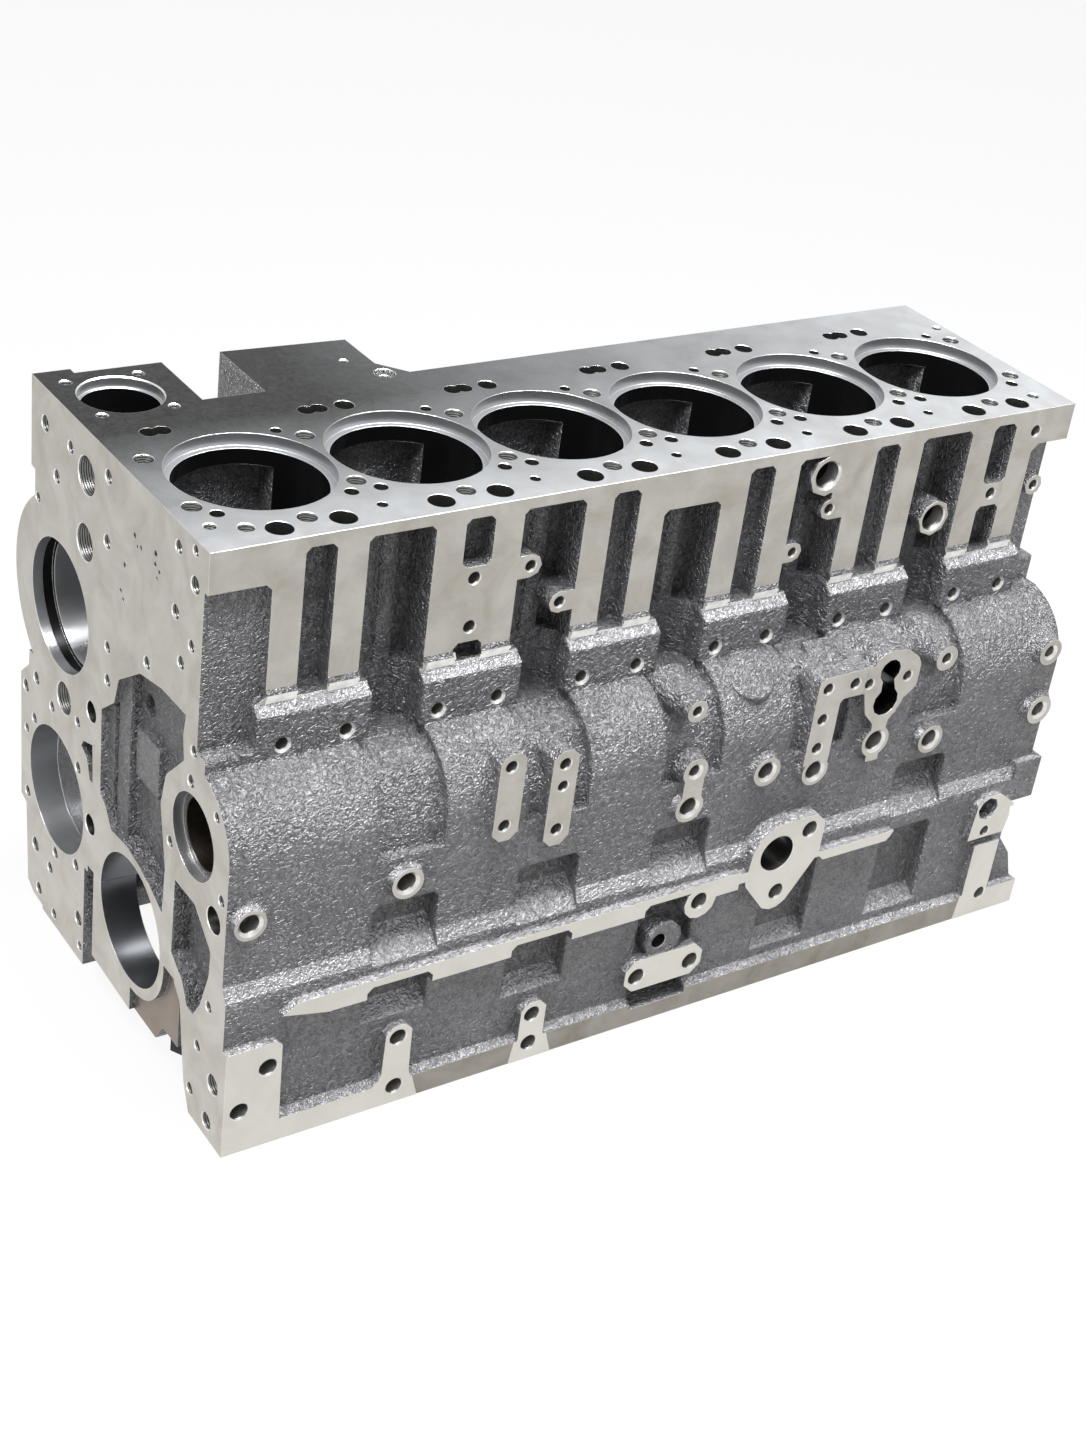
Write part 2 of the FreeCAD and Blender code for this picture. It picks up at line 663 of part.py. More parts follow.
bar_half = bar_width / 2
window_low = ledge_height + 4
wide_windows = []
narrow_windows = []
for k in range(CYLINDERS - 1):
    left = bore_x(k) + bar_behind + bar_half
    right = bore_x(k + 1) - bar_ahead - bar_half
    top = from_deck(33) if k == 2 else from_deck(window_top)
    wide_windows.append(
        [(left, window_low), (right, window_low), (right, top, window_round), (left, top, window_round)]
    )
for k in (0, 2, 3, 4):
    left = bore_x(k) - bar_ahead + bar_half
    right = bore_x(k) + bar_behind - bar_half
    top = from_deck(window_top)
    narrow_windows.append(
        [(left, window_low), (right, window_low), (right, top, window_round), (left, top, window_round)]
    )
for k, middle_low, middle_high in ((1, from_deck(117), from_deck(51)), (5, from_deck(88), from_deck(66))):
    left = bore_x(k) - bar_ahead + bar_half
    right = bore_x(k) + bar_behind - bar_half
    narrow_windows.append([
        (left, window_low), (right, window_low),
        (right, middle_low, window_round), (left, middle_low, window_round),
    ])
    narrow_windows.append(rounded((left, right), (middle_high, from_deck(window_top)), window_round))
wide_cut = extrude(
    "wide_windows",
    sketch_on("XZ", -deck_right + gap_depth, "wide_window_outlines", wide_windows), gap_depth + PAST,
)
narrow_cut = extrude(
    "narrow_windows", sketch_on("XZ", -deck_right + slot_depth, "narrow_window_outlines", narrow_windows),
    slot_depth + PAST,
)
columns = []
for k in range(1, CYLINDERS):
    for side in (-9.5, 9.5):
        columns.append(prism(
            f"column_{k}_{'front' if side < 0 else 'rear'}", "+Z", web_x(k) + side,
            -deck_right + gap_depth - 4, window_low - 2, 10, deck_height - window_low - 8,
        ))
# They stand on the gap's floor and sink a little into it
lobe_depth = gap_depth + 6
lobes = [
    prism("lobe_1", "+Y", bore_x(1) + 53.5, -deck_right, from_deck(60), 10, lobe_depth),
    prism("lobe_2", "+Y", web_x(2) + 18, -deck_right, from_deck(98), 10, lobe_depth),
    prism("lobe_3", "+Y", bore_x(4) - 51.5, -deck_right, from_deck(60.5), 10, lobe_depth),
    prism("lobe_4", "+Y", web_x(4) - 16, -deck_right, from_deck(96), 9, lobe_depth),
    prism("upper_port_boss", "+Y", web_x(4) + 7, -deck_right, from_deck(28), 19, lobe_depth),
    prism("lower_port_boss", "+Y", web_x(5) + 6.5, -deck_right, from_deck(90), 17, lobe_depth),
    box("lobe_1_bridge", (bore_x(1) + 40, bore_x(1) + 53), (-deck_right, -deck_right + lobe_depth),
        (from_deck(70), from_deck(50))),
    box("lobe_2_bridge", (web_x(2) + 18, web_x(2) + 36), (-deck_right, -deck_right + lobe_depth),
        (from_deck(107), from_deck(89))),
    box("lobe_3_bridge", (bore_x(4) - 52, bore_x(4) - 34), (-deck_right, -deck_right + lobe_depth),
        (from_deck(70.5), from_deck(45))),
    box("lobe_4_bridge", (web_x(4) - 32, web_x(4) - 16), (-deck_right, -deck_right + lobe_depth),
        (from_deck(105), from_deck(87))),
    box("upper_port_bridge", (web_x(4) + 7, web_x(4) + 36), (-deck_right, -deck_right + lobe_depth),
        (from_deck(45), from_deck(8))),
]
window_fill = fuse("window_fill", [*columns, *lobes])
windows = cut("windows", fuse("window_openings", [wide_cut, narrow_cut]), window_fill)

# Grooves between the segments of the tappet ledge, and the ledge's two ends

grooves = [
    extrude(
        f"groove_{k}",
        sketch_on("XY", ledge_foot - 5, f"groove_{k}_outline", [[
            (web_x(k) - 17, -ledge_reach - over),
            (web_x(k) - 17, -ledge_reach + 34, 20),
            (web_x(k) + 29, -ledge_reach + 34, 20),
            (web_x(k) + 29, -ledge_reach - over),
        ]]),
        ledge_height - ledge_foot + 20,
    )
    for k in range(1, CYLINDERS)
]
front_recess = extrude(
    "front_recess",
    sketch_on("XZ", -deck_right + 5, "front_recess_outline", [[
        (-over, ledge_height - 31),
        (41, ledge_height - 31),
        (41, ledge_height + 2),
        (51, ledge_height + 8),
        (51, from_deck(34), 8),
        (-over, from_deck(34)),
    ]]),
    30.0,
)
rear_recess = extrude(
    "rear_recess",
    sketch_on("XZ", -deck_right + 5, "rear_recess_outline", [[
        (block_length - 33, ledge_foot + 1),
        (block_length + over, ledge_foot + 1),
        (block_length + over, from_deck(34)),
        (block_length - 35, from_deck(34)),
        (block_length - 42, from_deck(41)),
        (block_length - 42, ledge_height + 8),
        (block_length - 33, ledge_height),
    ]]),
    30.0,
)
rear_corner = extrude(
    "rear_corner",
    sketch_on("XY", ledge_height - 18, "rear_corner_outline", [[
        (block_length - 19, -deck_right - 10),
        (block_length - 19, -deck_right + 12, 12),
        (block_length + over, -deck_right + 40),
        (block_length + over, -deck_right - 10),
    ]]),
    deck_height - 34 - (ledge_height - 18),
)
rear_recess_boss = prism("rear_recess_boss", "+Y", block_length - 28, -deck_right, from_deck(76), 10, 12)

# Cast relief of the camshaft housing at the webs, and the pockets under it

relief_outline = [
    (-cam_bulge_reach - 20, cam_height - 19),
    (-cam_bulge_reach + 7, cam_height - 19, 3),
    (-cam_bulge_reach + 9, ledge_foot - 50),
    (-cam_bulge_reach + 26, ledge_foot - 18),
    (-ledge_reach + 8, ledge_foot - 6),
    (-ledge_reach + 8, ledge_foot + 1),
    (-cam_bulge_reach - 20, ledge_foot + 1),
]
reliefs = [
    extrude(f"relief_{k}", sketch_on("YZ", web_x(k) - 27, f"relief_{k}_outline", [relief_outline]), 60.0)
    for k in range(1, CYLINDERS)
]
pocket_openings = [
    rounded((web_x(k) - 27, web_x(k) + 33), (from_rail(138), from_rail(197)), 8) for k in (1, 2, 3, 5)
]
upper_pockets = extrude(
    "upper_pockets", sketch_on("XZ", -cam_bulge_reach + 16, "upper_pocket_outlines", pocket_openings), 40.0
)
pocket_floor_outline = [
    (-cam_bulge_reach + 17, from_rail(135)),
    (-cam_bulge_reach + 17, from_rail(168)),
    (-cam_bulge_reach + 10, from_rail(160)),
    (-rail_reach - 2, from_rail(135)),
]
pocket_floor = extrude(
    "pocket_floor", sketch_on("YZ", 0, "pocket_floor_outline", [pocket_floor_outline]), block_length
)
# web number, height of the floor's front edge above the rail
UNDERCUTS = ((1, 84), (2, 66), (3, 58), (4, 32), (5, 32))
undercut_openings = [
    [
        (web_x(k) - 33, from_rail(foot)),
        (web_x(k) + 27, from_rail(foot)),
        (web_x(k) + 27, from_rail(129), 8),
        (web_x(k) - 33, from_rail(129), 8),
    ]
    for k, foot in UNDERCUTS
]
lower_pockets = extrude(
    "lower_pockets", sketch_on("XZ", -skirt_reach + 13, "lower_pocket_outlines", undercut_openings), 40.0
)
undercut_floors = [
    extrude(
        f"undercut_floor_{k}",
        sketch_on("YZ", web_x(k) - 40, f"undercut_floor_{k}_outline", [[
            (-skirt_reach + 21, from_rail(foot - 2)),
            (-skirt_reach + 21, from_rail(foot + 26)),
            (-skirt_reach, from_rail(foot + 4)),
            (-skirt_reach, from_rail(foot - 2)),
        ]]),
        80.0,
    )
    for k, foot in UNDERCUTS
]
pocket_fill = fuse("pocket_fill", [
    *undercut_floors,
    extrude("pillar_backs", sketch_on("XZ", -rail_reach, "pillar_back_outlines", [
        rounded((web_x(1) - 11, web_x(1) + 13), (from_rail(10), from_rail(81)), 11.5),
        rounded((web_x(2) - 14, web_x(2) + 11), (from_rail(10), from_rail(61)), 11.5),
    ]), -30.0),
    extrude("pad_back", sketch_on("XZ", -rail_reach, "pad_back_outline", [two_hole_pad]), -30.0),
    extrude("flange_back", sketch_on("XZ", -rail_reach, "flange_back_outline", [flange_outline]), -30.0),
    prism("lug_back", "+Y", bore_x(3) - 41, -rail_reach, from_rail(117), 17, 30, BOSS_SIDES),
    prism("sensor_back", "+Y", bore_x(2) + 62, -rail_reach + 2, from_rail(84), 19, 30, BOSS_SIDES),
])
upper_fill = fuse("upper_fill", [
    pocket_floor,
    *[prism(f"{name}_back", "+Y", x, -pad_reach, cam_height + rise, radius, 30, BOSS_SIDES)
      for name, x, rise, radius in HOUSING_BOSSES if name in ("second", "fourth", "sixth", "fourth_upper")],
    box("two_lobe_back", (web_x(3) - 8, web_x(3) + 12), (-pad_reach, -pad_reach + 30),
        (cam_height - 55, cam_height - 16)),
    extrude("pad_b_back", sketch_on("XZ", -pad_reach, "pad_b_back_outline", [pad_b]), -30.0),
    *[prism(f"{name}_back", "+Y", x, -pad_reach + 4, cam_height + rise, radius, 40)
      for name, x, rise, radius in (("oil", web_x(3) - 4.5, 51, 10), ("switch", web_x(5) + 2.5, 43, 12))],
])
relieved = cut("relief_cuts", fuse("relief_openings", [*reliefs, upper_pockets]), upper_fill)
undercut = cut("undercut_cuts", lower_pockets, pocket_fill)
rear_notch = extrude(
    "rear_notch",
    sketch_on("XZ", -rail_reach + 30, "rear_notch_outline", [[
        (block_length - 27, from_rail(121)),
        (block_length + PAST, from_rail(121)),
        (block_length + PAST, from_rail(27)),
        (block_length + 6, from_rail(27)),
        (block_length - 4, from_rail(57)),
        (block_length - 22, from_rail(80)),
    ]]),
    40.0,
)
pad_undercut = extrude(
    "pad_undercut",
    sketch_on("XZ", -skirt_reach + 18, "pad_undercut_outline", [
        rounded((bore_x(2) + 35, bore_x(3) - 40), (from_rail(17), from_rail(36)), 3),
    ]),
    30.0,
)
# Drilled holes: each list gives the place across and along its face, the radius and the depth

def drill(name, way, x, y, z, radius, depth, true_round=False):
    """A hole that enters its face a little outside the metal."""
    step = {
        "+X": (-over, 0, 0), "-X": (over, 0, 0), "+Y": (0, -over, 0),
        "-Y": (0, over, 0), "+Z": (0, 0, -over), "-Z": (0, 0, over),
    }[way]
    make = cylinder if true_round else prism
    return make(name, way, x + step[0], y + step[1], z + step[2], radius, depth + over)


deck_holes = []
for k in range(CYLINDERS):
    deck_holes.append(box(
        f"coolant_slot_{k + 1}", (bore_x(k) - 52, bore_x(k) - 27), (deck_left - 49, deck_left - 35),
        (from_deck(40), deck_height + over),
    ))
for k in range(CYLINDERS):
    x = bore_x(k)
    for name, ahead, across, radius, depth in (
        ("bolt", 4, -81.7, head_bolt_radius, 60),
        ("push_front", -bar_ahead, -push_hole_offset, push_hole_radius, deck_height - cam_height - 40),
        ("push_rear", bar_behind, -push_hole_offset, push_hole_radius, deck_height - cam_height - 40),
    ):
        deck_holes.append(drill(f"{name}_{k + 1}", "-Z", x + ahead, across, deck_height, radius, depth))
for k in range(WEBS):
    x = web_x(k)
    deck_holes += [
        drill(
            f"head_bolt_left_{k + 1}", "-Z", x, head_bolt_left, deck_height,
            head_bolt_radius, head_bolt_depth,
        ),
        drill(
            f"head_bolt_right_{k + 1}", "-Z", x, -head_bolt_right, deck_height,
            head_bolt_radius, head_bolt_depth,
        ),
    ]
for name, x, y, radius, depth in (
    ("front_tap", 41.5, -81.7, 6, 30),
    ("tower_pin_seat", tower_rear - 2, deck_left + 3.5, 9.5, 4),
):
    deck_holes.append(drill(name, "-Z", x, y, deck_height, radius, depth))
outlet_bolts = [
    drill(f"outlet_bolt_{n + 1}", "-Z", outlet_x + dx, outlet_y + dy, deck_height, 4, 20)
    for n, (dx, dy) in enumerate(((-31, -32), (31, -32), (-31, 32), (31, 32)))
]
outlet = drill(
    "outlet", "-Z", outlet_x, outlet_y, deck_height, outlet_radius, deck_height - pump_bore_z, True
)

# across, height above the crankshaft axis, radius
FRONT_HOLES = (
    ("water_port_upper", 102, 354, 15.5),
    ("water_port_lower", 103, 296, 15),
    ("gallery_port", 139, 133, 14),
    ("gear_oil_port", 84, 151.5, 9),
    ("idler_oil_port", 82, 42.5, 9),
    ("cam_oil_port", -144.5, 99, 11),
    ("cover_dowel_right", -158, -51.5, 8.5),
    ("cover_bolt_low_right", -151, -94, 7),
    ("cover_bolt_high_right", -88.5, 357, 6.5),
    ("cover_dowel_left", 196.5, -51, 6.5),
    ("cover_bolt_high_left", 183, 362, 6.5),
    ("cover_bolt_low_left", 102, -68, 6.5),
)
front_holes = [
    drill(f"{name}_hole", "+X", 0, y, z, radius, 26) for name, y, z, radius in FRONT_HOLES
]
pump_room = [
    drill("pump_bore", "+X", 0, pump_bore_y, pump_bore_z, pump_bore_radius, 60, True),
]
idler_room = [
    drill("idler_bore", "+X", 0, idler_bore_y, idler_bore_z, idler_bore_radius, idler_bore_depth, True),
]
recess_depth = 15.0
upper_recess = [
    (-84, 246, 4), (-42, 245, 6), (-4, 237, 8), (34, 210, 5), (41, 185, 4), (64, 166, 3), (63, 86, 3),
    (52, 80, 4), (40, 64, 6), (7, 67.5), (-34, 58, 10), (-58, 47, 4), (-60, 92, 10), (-48, 145, 12),
    (-55, 176, 12), (-84, 206, 6), (-81, 226, 8),
]
lower_recess = [
    (-78, 93, 4), (-113, 93, 5), (-143, 68, 8), (-142, 44, 6), (-130, 8, 12), (-113, -20, 11), (-99, 8, 10),
    (-77, 22, 6),
]
keyhole = [(102, 109, 4), (98, 116, 3), (80, 122, 5), (78, 86, 3), (84, 86, 3), (90, 103, 6)]
recesses = extrude(
    "front_recesses",
    sketch_on("YZ", -over, "recess_outlines", [upper_recess, lower_recess, keyhole]),
    over + recess_depth,
)
recess_fill = fuse("recess_fill", [
    box("recess_rib", (6, recess_depth + over), (21, 43), (60, 235)),
    box("recess_step", (6, recess_depth + over), (50, 70), (70, 175)),
    box("recess_pad", (8, recess_depth + over), (-27, 14), (133, 178)),
    cylinder("cam_rim", "+X", 0, -cam_offset, cam_height, cam_front_radius + 18, recess_depth + over),
    cylinder("crank_rim", "+X", 0, 0, 0, crank_rim_radius, recess_depth + over),
])
front_relief = cut("front_relief", recesses, recess_fill)
recess_hole = prism("recess_hole", "+X", 0, 6.5, 199, 10, 45)
front_opening = extrude(
    "front_opening",
    sketch_on("YZ", -over, "front_opening_outline", [[
        (-120, rail - over),
        (-120, rail),
        (-109, rail + 24),
        (-104, -60),
        (-96, -14, 8),
        (-(cap_reach + cap_gap), -3, 4),
        (-(cap_reach + cap_gap), 0),
        (cap_reach + cap_gap, 0),
        (cap_reach + cap_gap, -7, 3),
        (91, -7, 5),
        (91, rail - over),
    ]]),
    front_wall + over * 2,
)

# height from the rail, position, radius; all in the lower flank's machined faces
FLANK_HOLES = (
    ("front_pad_upper", 37, from_rail(79), 7.5, 24),
    ("front_pad_lower", 14, from_rail(42), 7.5, 24),
    ("pillar_1_upper", web_x(1) + 0.5, from_rail(68.5), 7.2, 24),
    ("pillar_1_lower", web_x(1) + 1.5, from_rail(17), 7.2, 24),
    ("pillar_2_upper", web_x(2) - 2.5, from_rail(48), 7.2, 24),
    ("pillar_2_lower", web_x(2) - 2, from_rail(17), 7.2, 24),
    ("bracket_left", bore_x(2) + 37, from_rail(53), 7.8, 24),
    ("bracket_right", bore_x(3) - 40, from_rail(52.5), 7.8, 24),
    ("strip_lug", bore_x(3) - 42, from_rail(118), 8, 24),
    ("drain_port", drain_x, drain_z, 17.5, 36),
    ("drain_bolt_upper", drain_x + 33.5, from_rail(163), 7.8, 24),
    ("drain_bolt_lower", drain_x + 8, from_rail(103), 7.5, 24),
    ("rear_port", block_length - 57, from_rail(126), 12, 36),
    ("rear_pad_bolt", block_length - 54, from_rail(100), 5, 20),
    ("rear_bar_bolt", block_length - 38, from_rail(23), 6, 20),
)
flank_holes = [
    drill(f"{name}_hole", "+Y", x, -rail_reach, z, radius, depth) for name, x, z, radius, depth in FLANK_HOLES
]
HOUSING_HOLES = (
    ("front", 8), ("second", 8), ("fourth", 8), ("fourth_upper", 5), ("cylinder_four", 7.5), ("fifth", 8.2),
    ("cooler_drain", 9), ("sixth", 8), ("rear_upper", 5.3), ("rear", 7),
)
housing_places = {name: (x, rise) for name, x, rise, radius in HOUSING_BOSSES}
housing_holes = [
    drill(
        f"{name}_boss_hole", "+Y", housing_places[name][0], -pad_reach, cam_height + housing_places[name][1],
        radius, 22,
    )
    for name, radius in HOUSING_HOLES
]
cooler_port = extrude(
    "cooler_port",
    sketch_on("XZ", -pad_reach + 36, "cooler_port_outline", [[
        (port_x - 13.5, cam_height + 12, 13),
        (port_x + 14, cam_height + 12, 13),
        (port_x + 14, cam_height + 30, 10),
        (port_x + 10.5, cam_height + 59, 10.5),
        (port_x - 12, cam_height + 59, 10.5),
        (port_x - 13.5, cam_height + 30, 10),
    ]]),
    50.0,
)
upper_flank_holes = [
    drill("upper_port", "+Y", web_x(4) + 7, -deck_right, from_deck(28), 11.5, 45),
    drill("lower_port", "+Y", web_x(5) + 6.5, -deck_right, from_deck(90), 11.5, 45),
]

# Left flank: core plug seats, the gallery bore and the mounting bolts

core_plug_ahead = size("core_plug_ahead", 34, "each core plug behind its cylinder axis")
core_plug_radius = size("core_plug_radius", 22, "core plug seats on the side away from the camshaft")
core_plug_depth = size("core_plug_depth", 8, "thickness of each core plug")
core_plug_height = size("core_plug_height", 300, "crankshaft axis up to the core plugs")
gallery_plug_radius = size("gallery_plug_radius", 12, "plug at the rear of the oil gallery")
gallery_plug_length = size("gallery_plug_length", 16, "length of that plug")
core_seats = [
    prism(
        f"core_seat_{k + 1}", "-Y", bore_x(k) + core_plug_ahead, deck_left + 10, core_plug_height,
        core_plug_radius, 40, PLUG_SIDES,
    )
    for k in range(2, CYLINDERS)
]
gallery_bore = prism("gallery_bore", "+X", -over, gallery_y, gallery_z, 9, block_length + over * 2)
gallery_seat = prism("gallery_seat", "+X", block_length - gallery_plug_length, gallery_y, gallery_z,
                     gallery_plug_radius, gallery_plug_length + over, PLUG_SIDES)
mount_holes = [
    drill(f"mount_hole_{k}_{n}", "-Y", bore_x(k) + dx, rail_reach, -20 + dz, 7, 24)
    for k in (1, 4)
    for n, (dx, dz) in enumerate(((-48, -26), (48, -26), (-48, 26), (48, 26)))
]
rear_holes = [
    drill(f"rear_hole_{n}", "-X", block_length + 7, side * reach, height, 7, 24, True)
    for n, (side, reach, height) in enumerate(
        (side, reach, height) for side in (-1, 1) for reach, height in ((150, -80), (150, 30))
    )
]
front_cap_thickness = front_wall - front_cap_setback
cap_middles = [front_cap_setback + front_cap_thickness / 2] + [web_x(k) for k in range(1, WEBS)]
cap_bolt_holes = [
    prism(f"cap_bolt_hole_{k + 1}_{side_name}", "+Z", middle, side * cap_bolt_offset, -over,
          cap_bolt_radius + cap_gap, cap_bolt_grip + over + 4)
    for k, middle in enumerate(cap_middles)
    for side_name, side in (("right", -1), ("left", 1))
]

openings = fuse("openings", [
    *bays, cap_channel, crank_bore, rear_seal_seat, cam_bore, rear_cam_bores, cam_front, *liner_bores,
    *jackets, coolant_rail, windows, *grooves,
    front_recess, rear_recess, rear_corner, relieved, undercut, rear_notch, pad_undercut, *deck_holes,
    *outlet_bolts, outlet, *front_holes, *pump_room, *idler_room, front_relief, recess_hole, front_opening,
    *flank_holes, *housing_holes, cooler_port, *upper_flank_holes, *core_seats, gallery_bore,
    gallery_seat, *mount_holes, *rear_holes, *cap_bolt_holes,
])
casting_with_openings = cut("casting_with_openings", positive, openings, True)
block = fuse("cylinder_block", [casting_with_openings, rear_recess_boss])
block.Refine = True

# Main bearing caps: padded from their outline, then bored for the crankshaft and drilled for their bolts


def body_sketch(body, plane, name, offset=0.0):
    """A sketch on one of the body's own origin planes."""
    sketch = body.newObject("Sketcher::SketchObject", name)
    sketch.AttachmentSupport = [(next(f for f in body.Origin.OriginFeatures if f.Role == plane), "")]
    sketch.MapMode = "FlatFace"
    sketch.AttachmentOffset = Placement(Vector(0, 0, number(offset)), Rotation())
    return sketch


def draw_prism(sketch, u, v, radius, sides=HOLE_SIDES):
    """A regular outline round a point, with its first corner on the sketch's own horizontal."""
    draw_outline(sketch, [
        (u + radius * math.cos(2 * math.pi * n / sides), v + radius * math.sin(2 * math.pi * n / sides))
        for n in range(sides)
    ])


def pocket(body, name, sketch):
    hole = body.newObject("PartDesign::Pocket", name)
    hole.Profile = sketch
    hole.Type = "ThroughAll"
    hole.Midplane = True
    return hole


cap_outline = [
    (-cap_reach, 0),
    (-cap_reach, -cap_shoulder),
    (-(cap_reach - 28), -cap_shoulder),
    (-(cap_reach - 40), -cap_drop),
    (cap_reach - 40, -cap_drop),
    (cap_reach - 28, -cap_shoulder),
    (cap_reach, -cap_shoulder),
    (cap_reach, 0),
]
front_cap_face = [
    (-crank_rim_radius, 0),
    (-crank_rim_radius, -crank_rim_radius, crank_rim_radius - 6),
    (-5, -crank_rim_radius),
    (-5, -(cap_drop - 3)),
    (72, -(cap_drop - 6)),
    (72, 0),
]


def bearing_cap(k, middle):
    body = document.addObject("PartDesign::Body", f"main_bearing_cap_{k + 1}")
    thickness = cap_thickness if k else front_cap_thickness
    outline = body_sketch(body, "YZ_Plane", f"cap_outline_{k + 1}")
    draw_outline(outline, cap_outline)
    pad = body.newObject("PartDesign::Pad", f"cap_pad_{k + 1}")
    pad.Profile = outline
    pad.Midplane = True
    bind(pad, "Length", thickness)
    if k == 0:
        face = body_sketch(body, "YZ_Plane", "front_cap_face", -front_cap_thickness / 2)
        draw_outline(face, front_cap_face)
        face_pad = body.newObject("PartDesign::Pad", "front_cap_face_pad")
        face_pad.Profile = face
        face_pad.Reversed = True
        bind(face_pad, "Length", front_cap_setback)
    bore_line = body_sketch(body, "YZ_Plane", f"cap_bore_line_{k + 1}")
    draw_circle(bore_line, 0, 0, crank_bore_radius)
    pocket(body, f"cap_bore_{k + 1}", bore_line)
    bolt_line = body_sketch(body, "XY_Plane", f"cap_bolt_line_{k + 1}")
    for side in (-1, 1):
        draw_prism(bolt_line, 0, side * cap_bolt_offset, cap_bolt_radius + cap_gap)
    pocket(body, f"cap_bolt_pocket_{k + 1}", bolt_line)
    return put(body, middle, 0, 0)


caps = [bearing_cap(k, middle) for k, middle in enumerate(cap_middles)]

cap_bolt_head = size("cap_bolt_head", 12.7, "corner radius of a cap bolt's head")
cap_bolt_head_height = size("cap_bolt_head_height", 13, "height of a cap bolt's head")


def cap_bolt_pair(k, middle):
    """Both bolts of one cap: a head under the shoulder and a shank up into the web."""
    bolts = []
    for side_name, side in (("right", -1), ("left", 1)):
        y = side * cap_bolt_offset
        head = prism(f"bolt_head_{k + 1}_{side_name}", "-Z", middle, y, -cap_shoulder, cap_bolt_head,
                     cap_bolt_head_height, 6)
        shank = prism(f"bolt_shank_{k + 1}_{side_name}", "+Z", middle, y, -cap_shoulder, cap_bolt_radius,
                      cap_shoulder + cap_bolt_grip)
        bolts.append(fuse(f"cap_bolt_{k + 1}_{side_name}", [head, shank]))
    return group(f"main_cap_bolts_{k + 1}", bolts)


cap_bolts = [cap_bolt_pair(k, middle) for k, middle in enumerate(cap_middles)]

# Plugs and the front camshaft bush

cam_bush_wall = size("cam_bush_wall", 2.2, "wall of the camshaft bush")
cam_bush = cut(
    "cam_bushing",
    cylinder("cam_bush_outside", "+X", cam_front_depth, -cam_offset, cam_height, cam_bore_radius,
             front_wall - cam_front_depth),
    cylinder(
        "cam_bush_bore", "+X", 0, -cam_offset, cam_height, cam_bore_radius - cam_bush_wall, front_wall + over
    ),
)
rear_cam_plug = prism("rear_cam_plug", "+X", block_length - 12, -cam_offset, cam_height, cam_bore_radius, 8,
                      PLUG_SIDES)
core_plugs = [
    prism(f"core_plug_{k + 1}", "-Y", bore_x(k) + core_plug_ahead, deck_left - 2, core_plug_height,
          core_plug_radius, core_plug_depth, PLUG_SIDES)
    for k in range(2, CYLINDERS)
]
gallery_plug = prism("gallery_plug", "+X", block_length - gallery_plug_length, gallery_y, gallery_z,
                     gallery_plug_radius, gallery_plug_length, PLUG_SIDES)

SUB_PARTS = [block, *caps, *cap_bolts, cam_bush, rear_cam_plug, *core_plugs, gallery_plug]
for part in SUB_PARTS:
    part.Label = part.Name

document.recompute()
for thing in document.Objects:
    if "Invalid" in thing.State or "Error" in thing.State:
        raise RuntimeError(f"{thing.Name} failed: {thing.State}")
for part in SUB_PARTS:
    if part.Shape.isNull() or not part.Shape.isValid():
        raise RuntimeError(f"{part.Label} has no valid shape")

os.makedirs("parts", exist_ok=True)
for part in SUB_PARTS:
    part.Shape.exportStep(f"parts/{part.Label}.step")
    print(part.Label, len(part.Shape.Solids), "solids", round(part.Shape.Volume / 1000), "cm3")
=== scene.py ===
import math

import bmesh
import bpy
from mathutils import Matrix, Vector


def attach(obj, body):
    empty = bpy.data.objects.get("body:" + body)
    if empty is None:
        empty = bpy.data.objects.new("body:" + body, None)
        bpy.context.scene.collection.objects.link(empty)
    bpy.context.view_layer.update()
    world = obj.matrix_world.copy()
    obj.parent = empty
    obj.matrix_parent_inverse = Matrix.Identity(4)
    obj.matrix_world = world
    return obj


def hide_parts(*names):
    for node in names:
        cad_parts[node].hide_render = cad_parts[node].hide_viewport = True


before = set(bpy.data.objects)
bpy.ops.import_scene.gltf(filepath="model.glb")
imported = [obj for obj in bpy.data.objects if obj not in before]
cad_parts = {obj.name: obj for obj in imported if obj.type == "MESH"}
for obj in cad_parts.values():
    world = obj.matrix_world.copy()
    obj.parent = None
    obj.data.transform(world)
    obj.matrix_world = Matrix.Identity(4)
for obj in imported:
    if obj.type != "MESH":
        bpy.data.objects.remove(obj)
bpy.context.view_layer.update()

bl_info = {
    "name": "Six-cylinder engine block",
    "version": (1, 0, 0),
    "blender": (4, 5, 0),
    "location": "View3D > Sidebar > Engine block",
    "description": "Dresses the cast block, its bearing caps and its plugs, and sets up a plain studio",
    "category": "Object",
}

# Places on the casting are in millimetres in the row frame
MM = 0.001

# Main planes of the casting
DECK = 393.0
RAIL = -110.0
FLANK = -109.0
LEDGE_FACE = -118.0
HOUSING_PADS = -171.0
HIGH_BOSSES = -167.0
RAIL_EDGE = -179.0
REAR = 845.0
REAR_FLANGE = 854.0

# Bores, as place across, height and radius
PUMP_BORE = (149.5, 215.0, 57.0)
IDLER_BORE = (152.0, 34.5, 57.0)
CRANK_BORE = (0.0, 0.0, 57.5)
CAM_BORE = (-104.5, 150.0, 31.5)
CAM_COUNTERBORE = (-104.5, 150.0, 35.5)
LINER_BORE = 60.0
LINER_REGISTER = 65.5
# The bores that go in only from the front face
FRONT_BORES = (PUMP_BORE, IDLER_BORE, CAM_COUNTERBORE)
# The coolant outlet in the deck, along, across and radius
OUTLET = (50.5, 154.0, 31.0)

# The cylinders' middles and the webs between them, along
PITCH = 135.0
BORES = [86.5 + PITCH * number for number in range(6)]
WEBS = [19.0 + PITCH * number for number in range(7)]

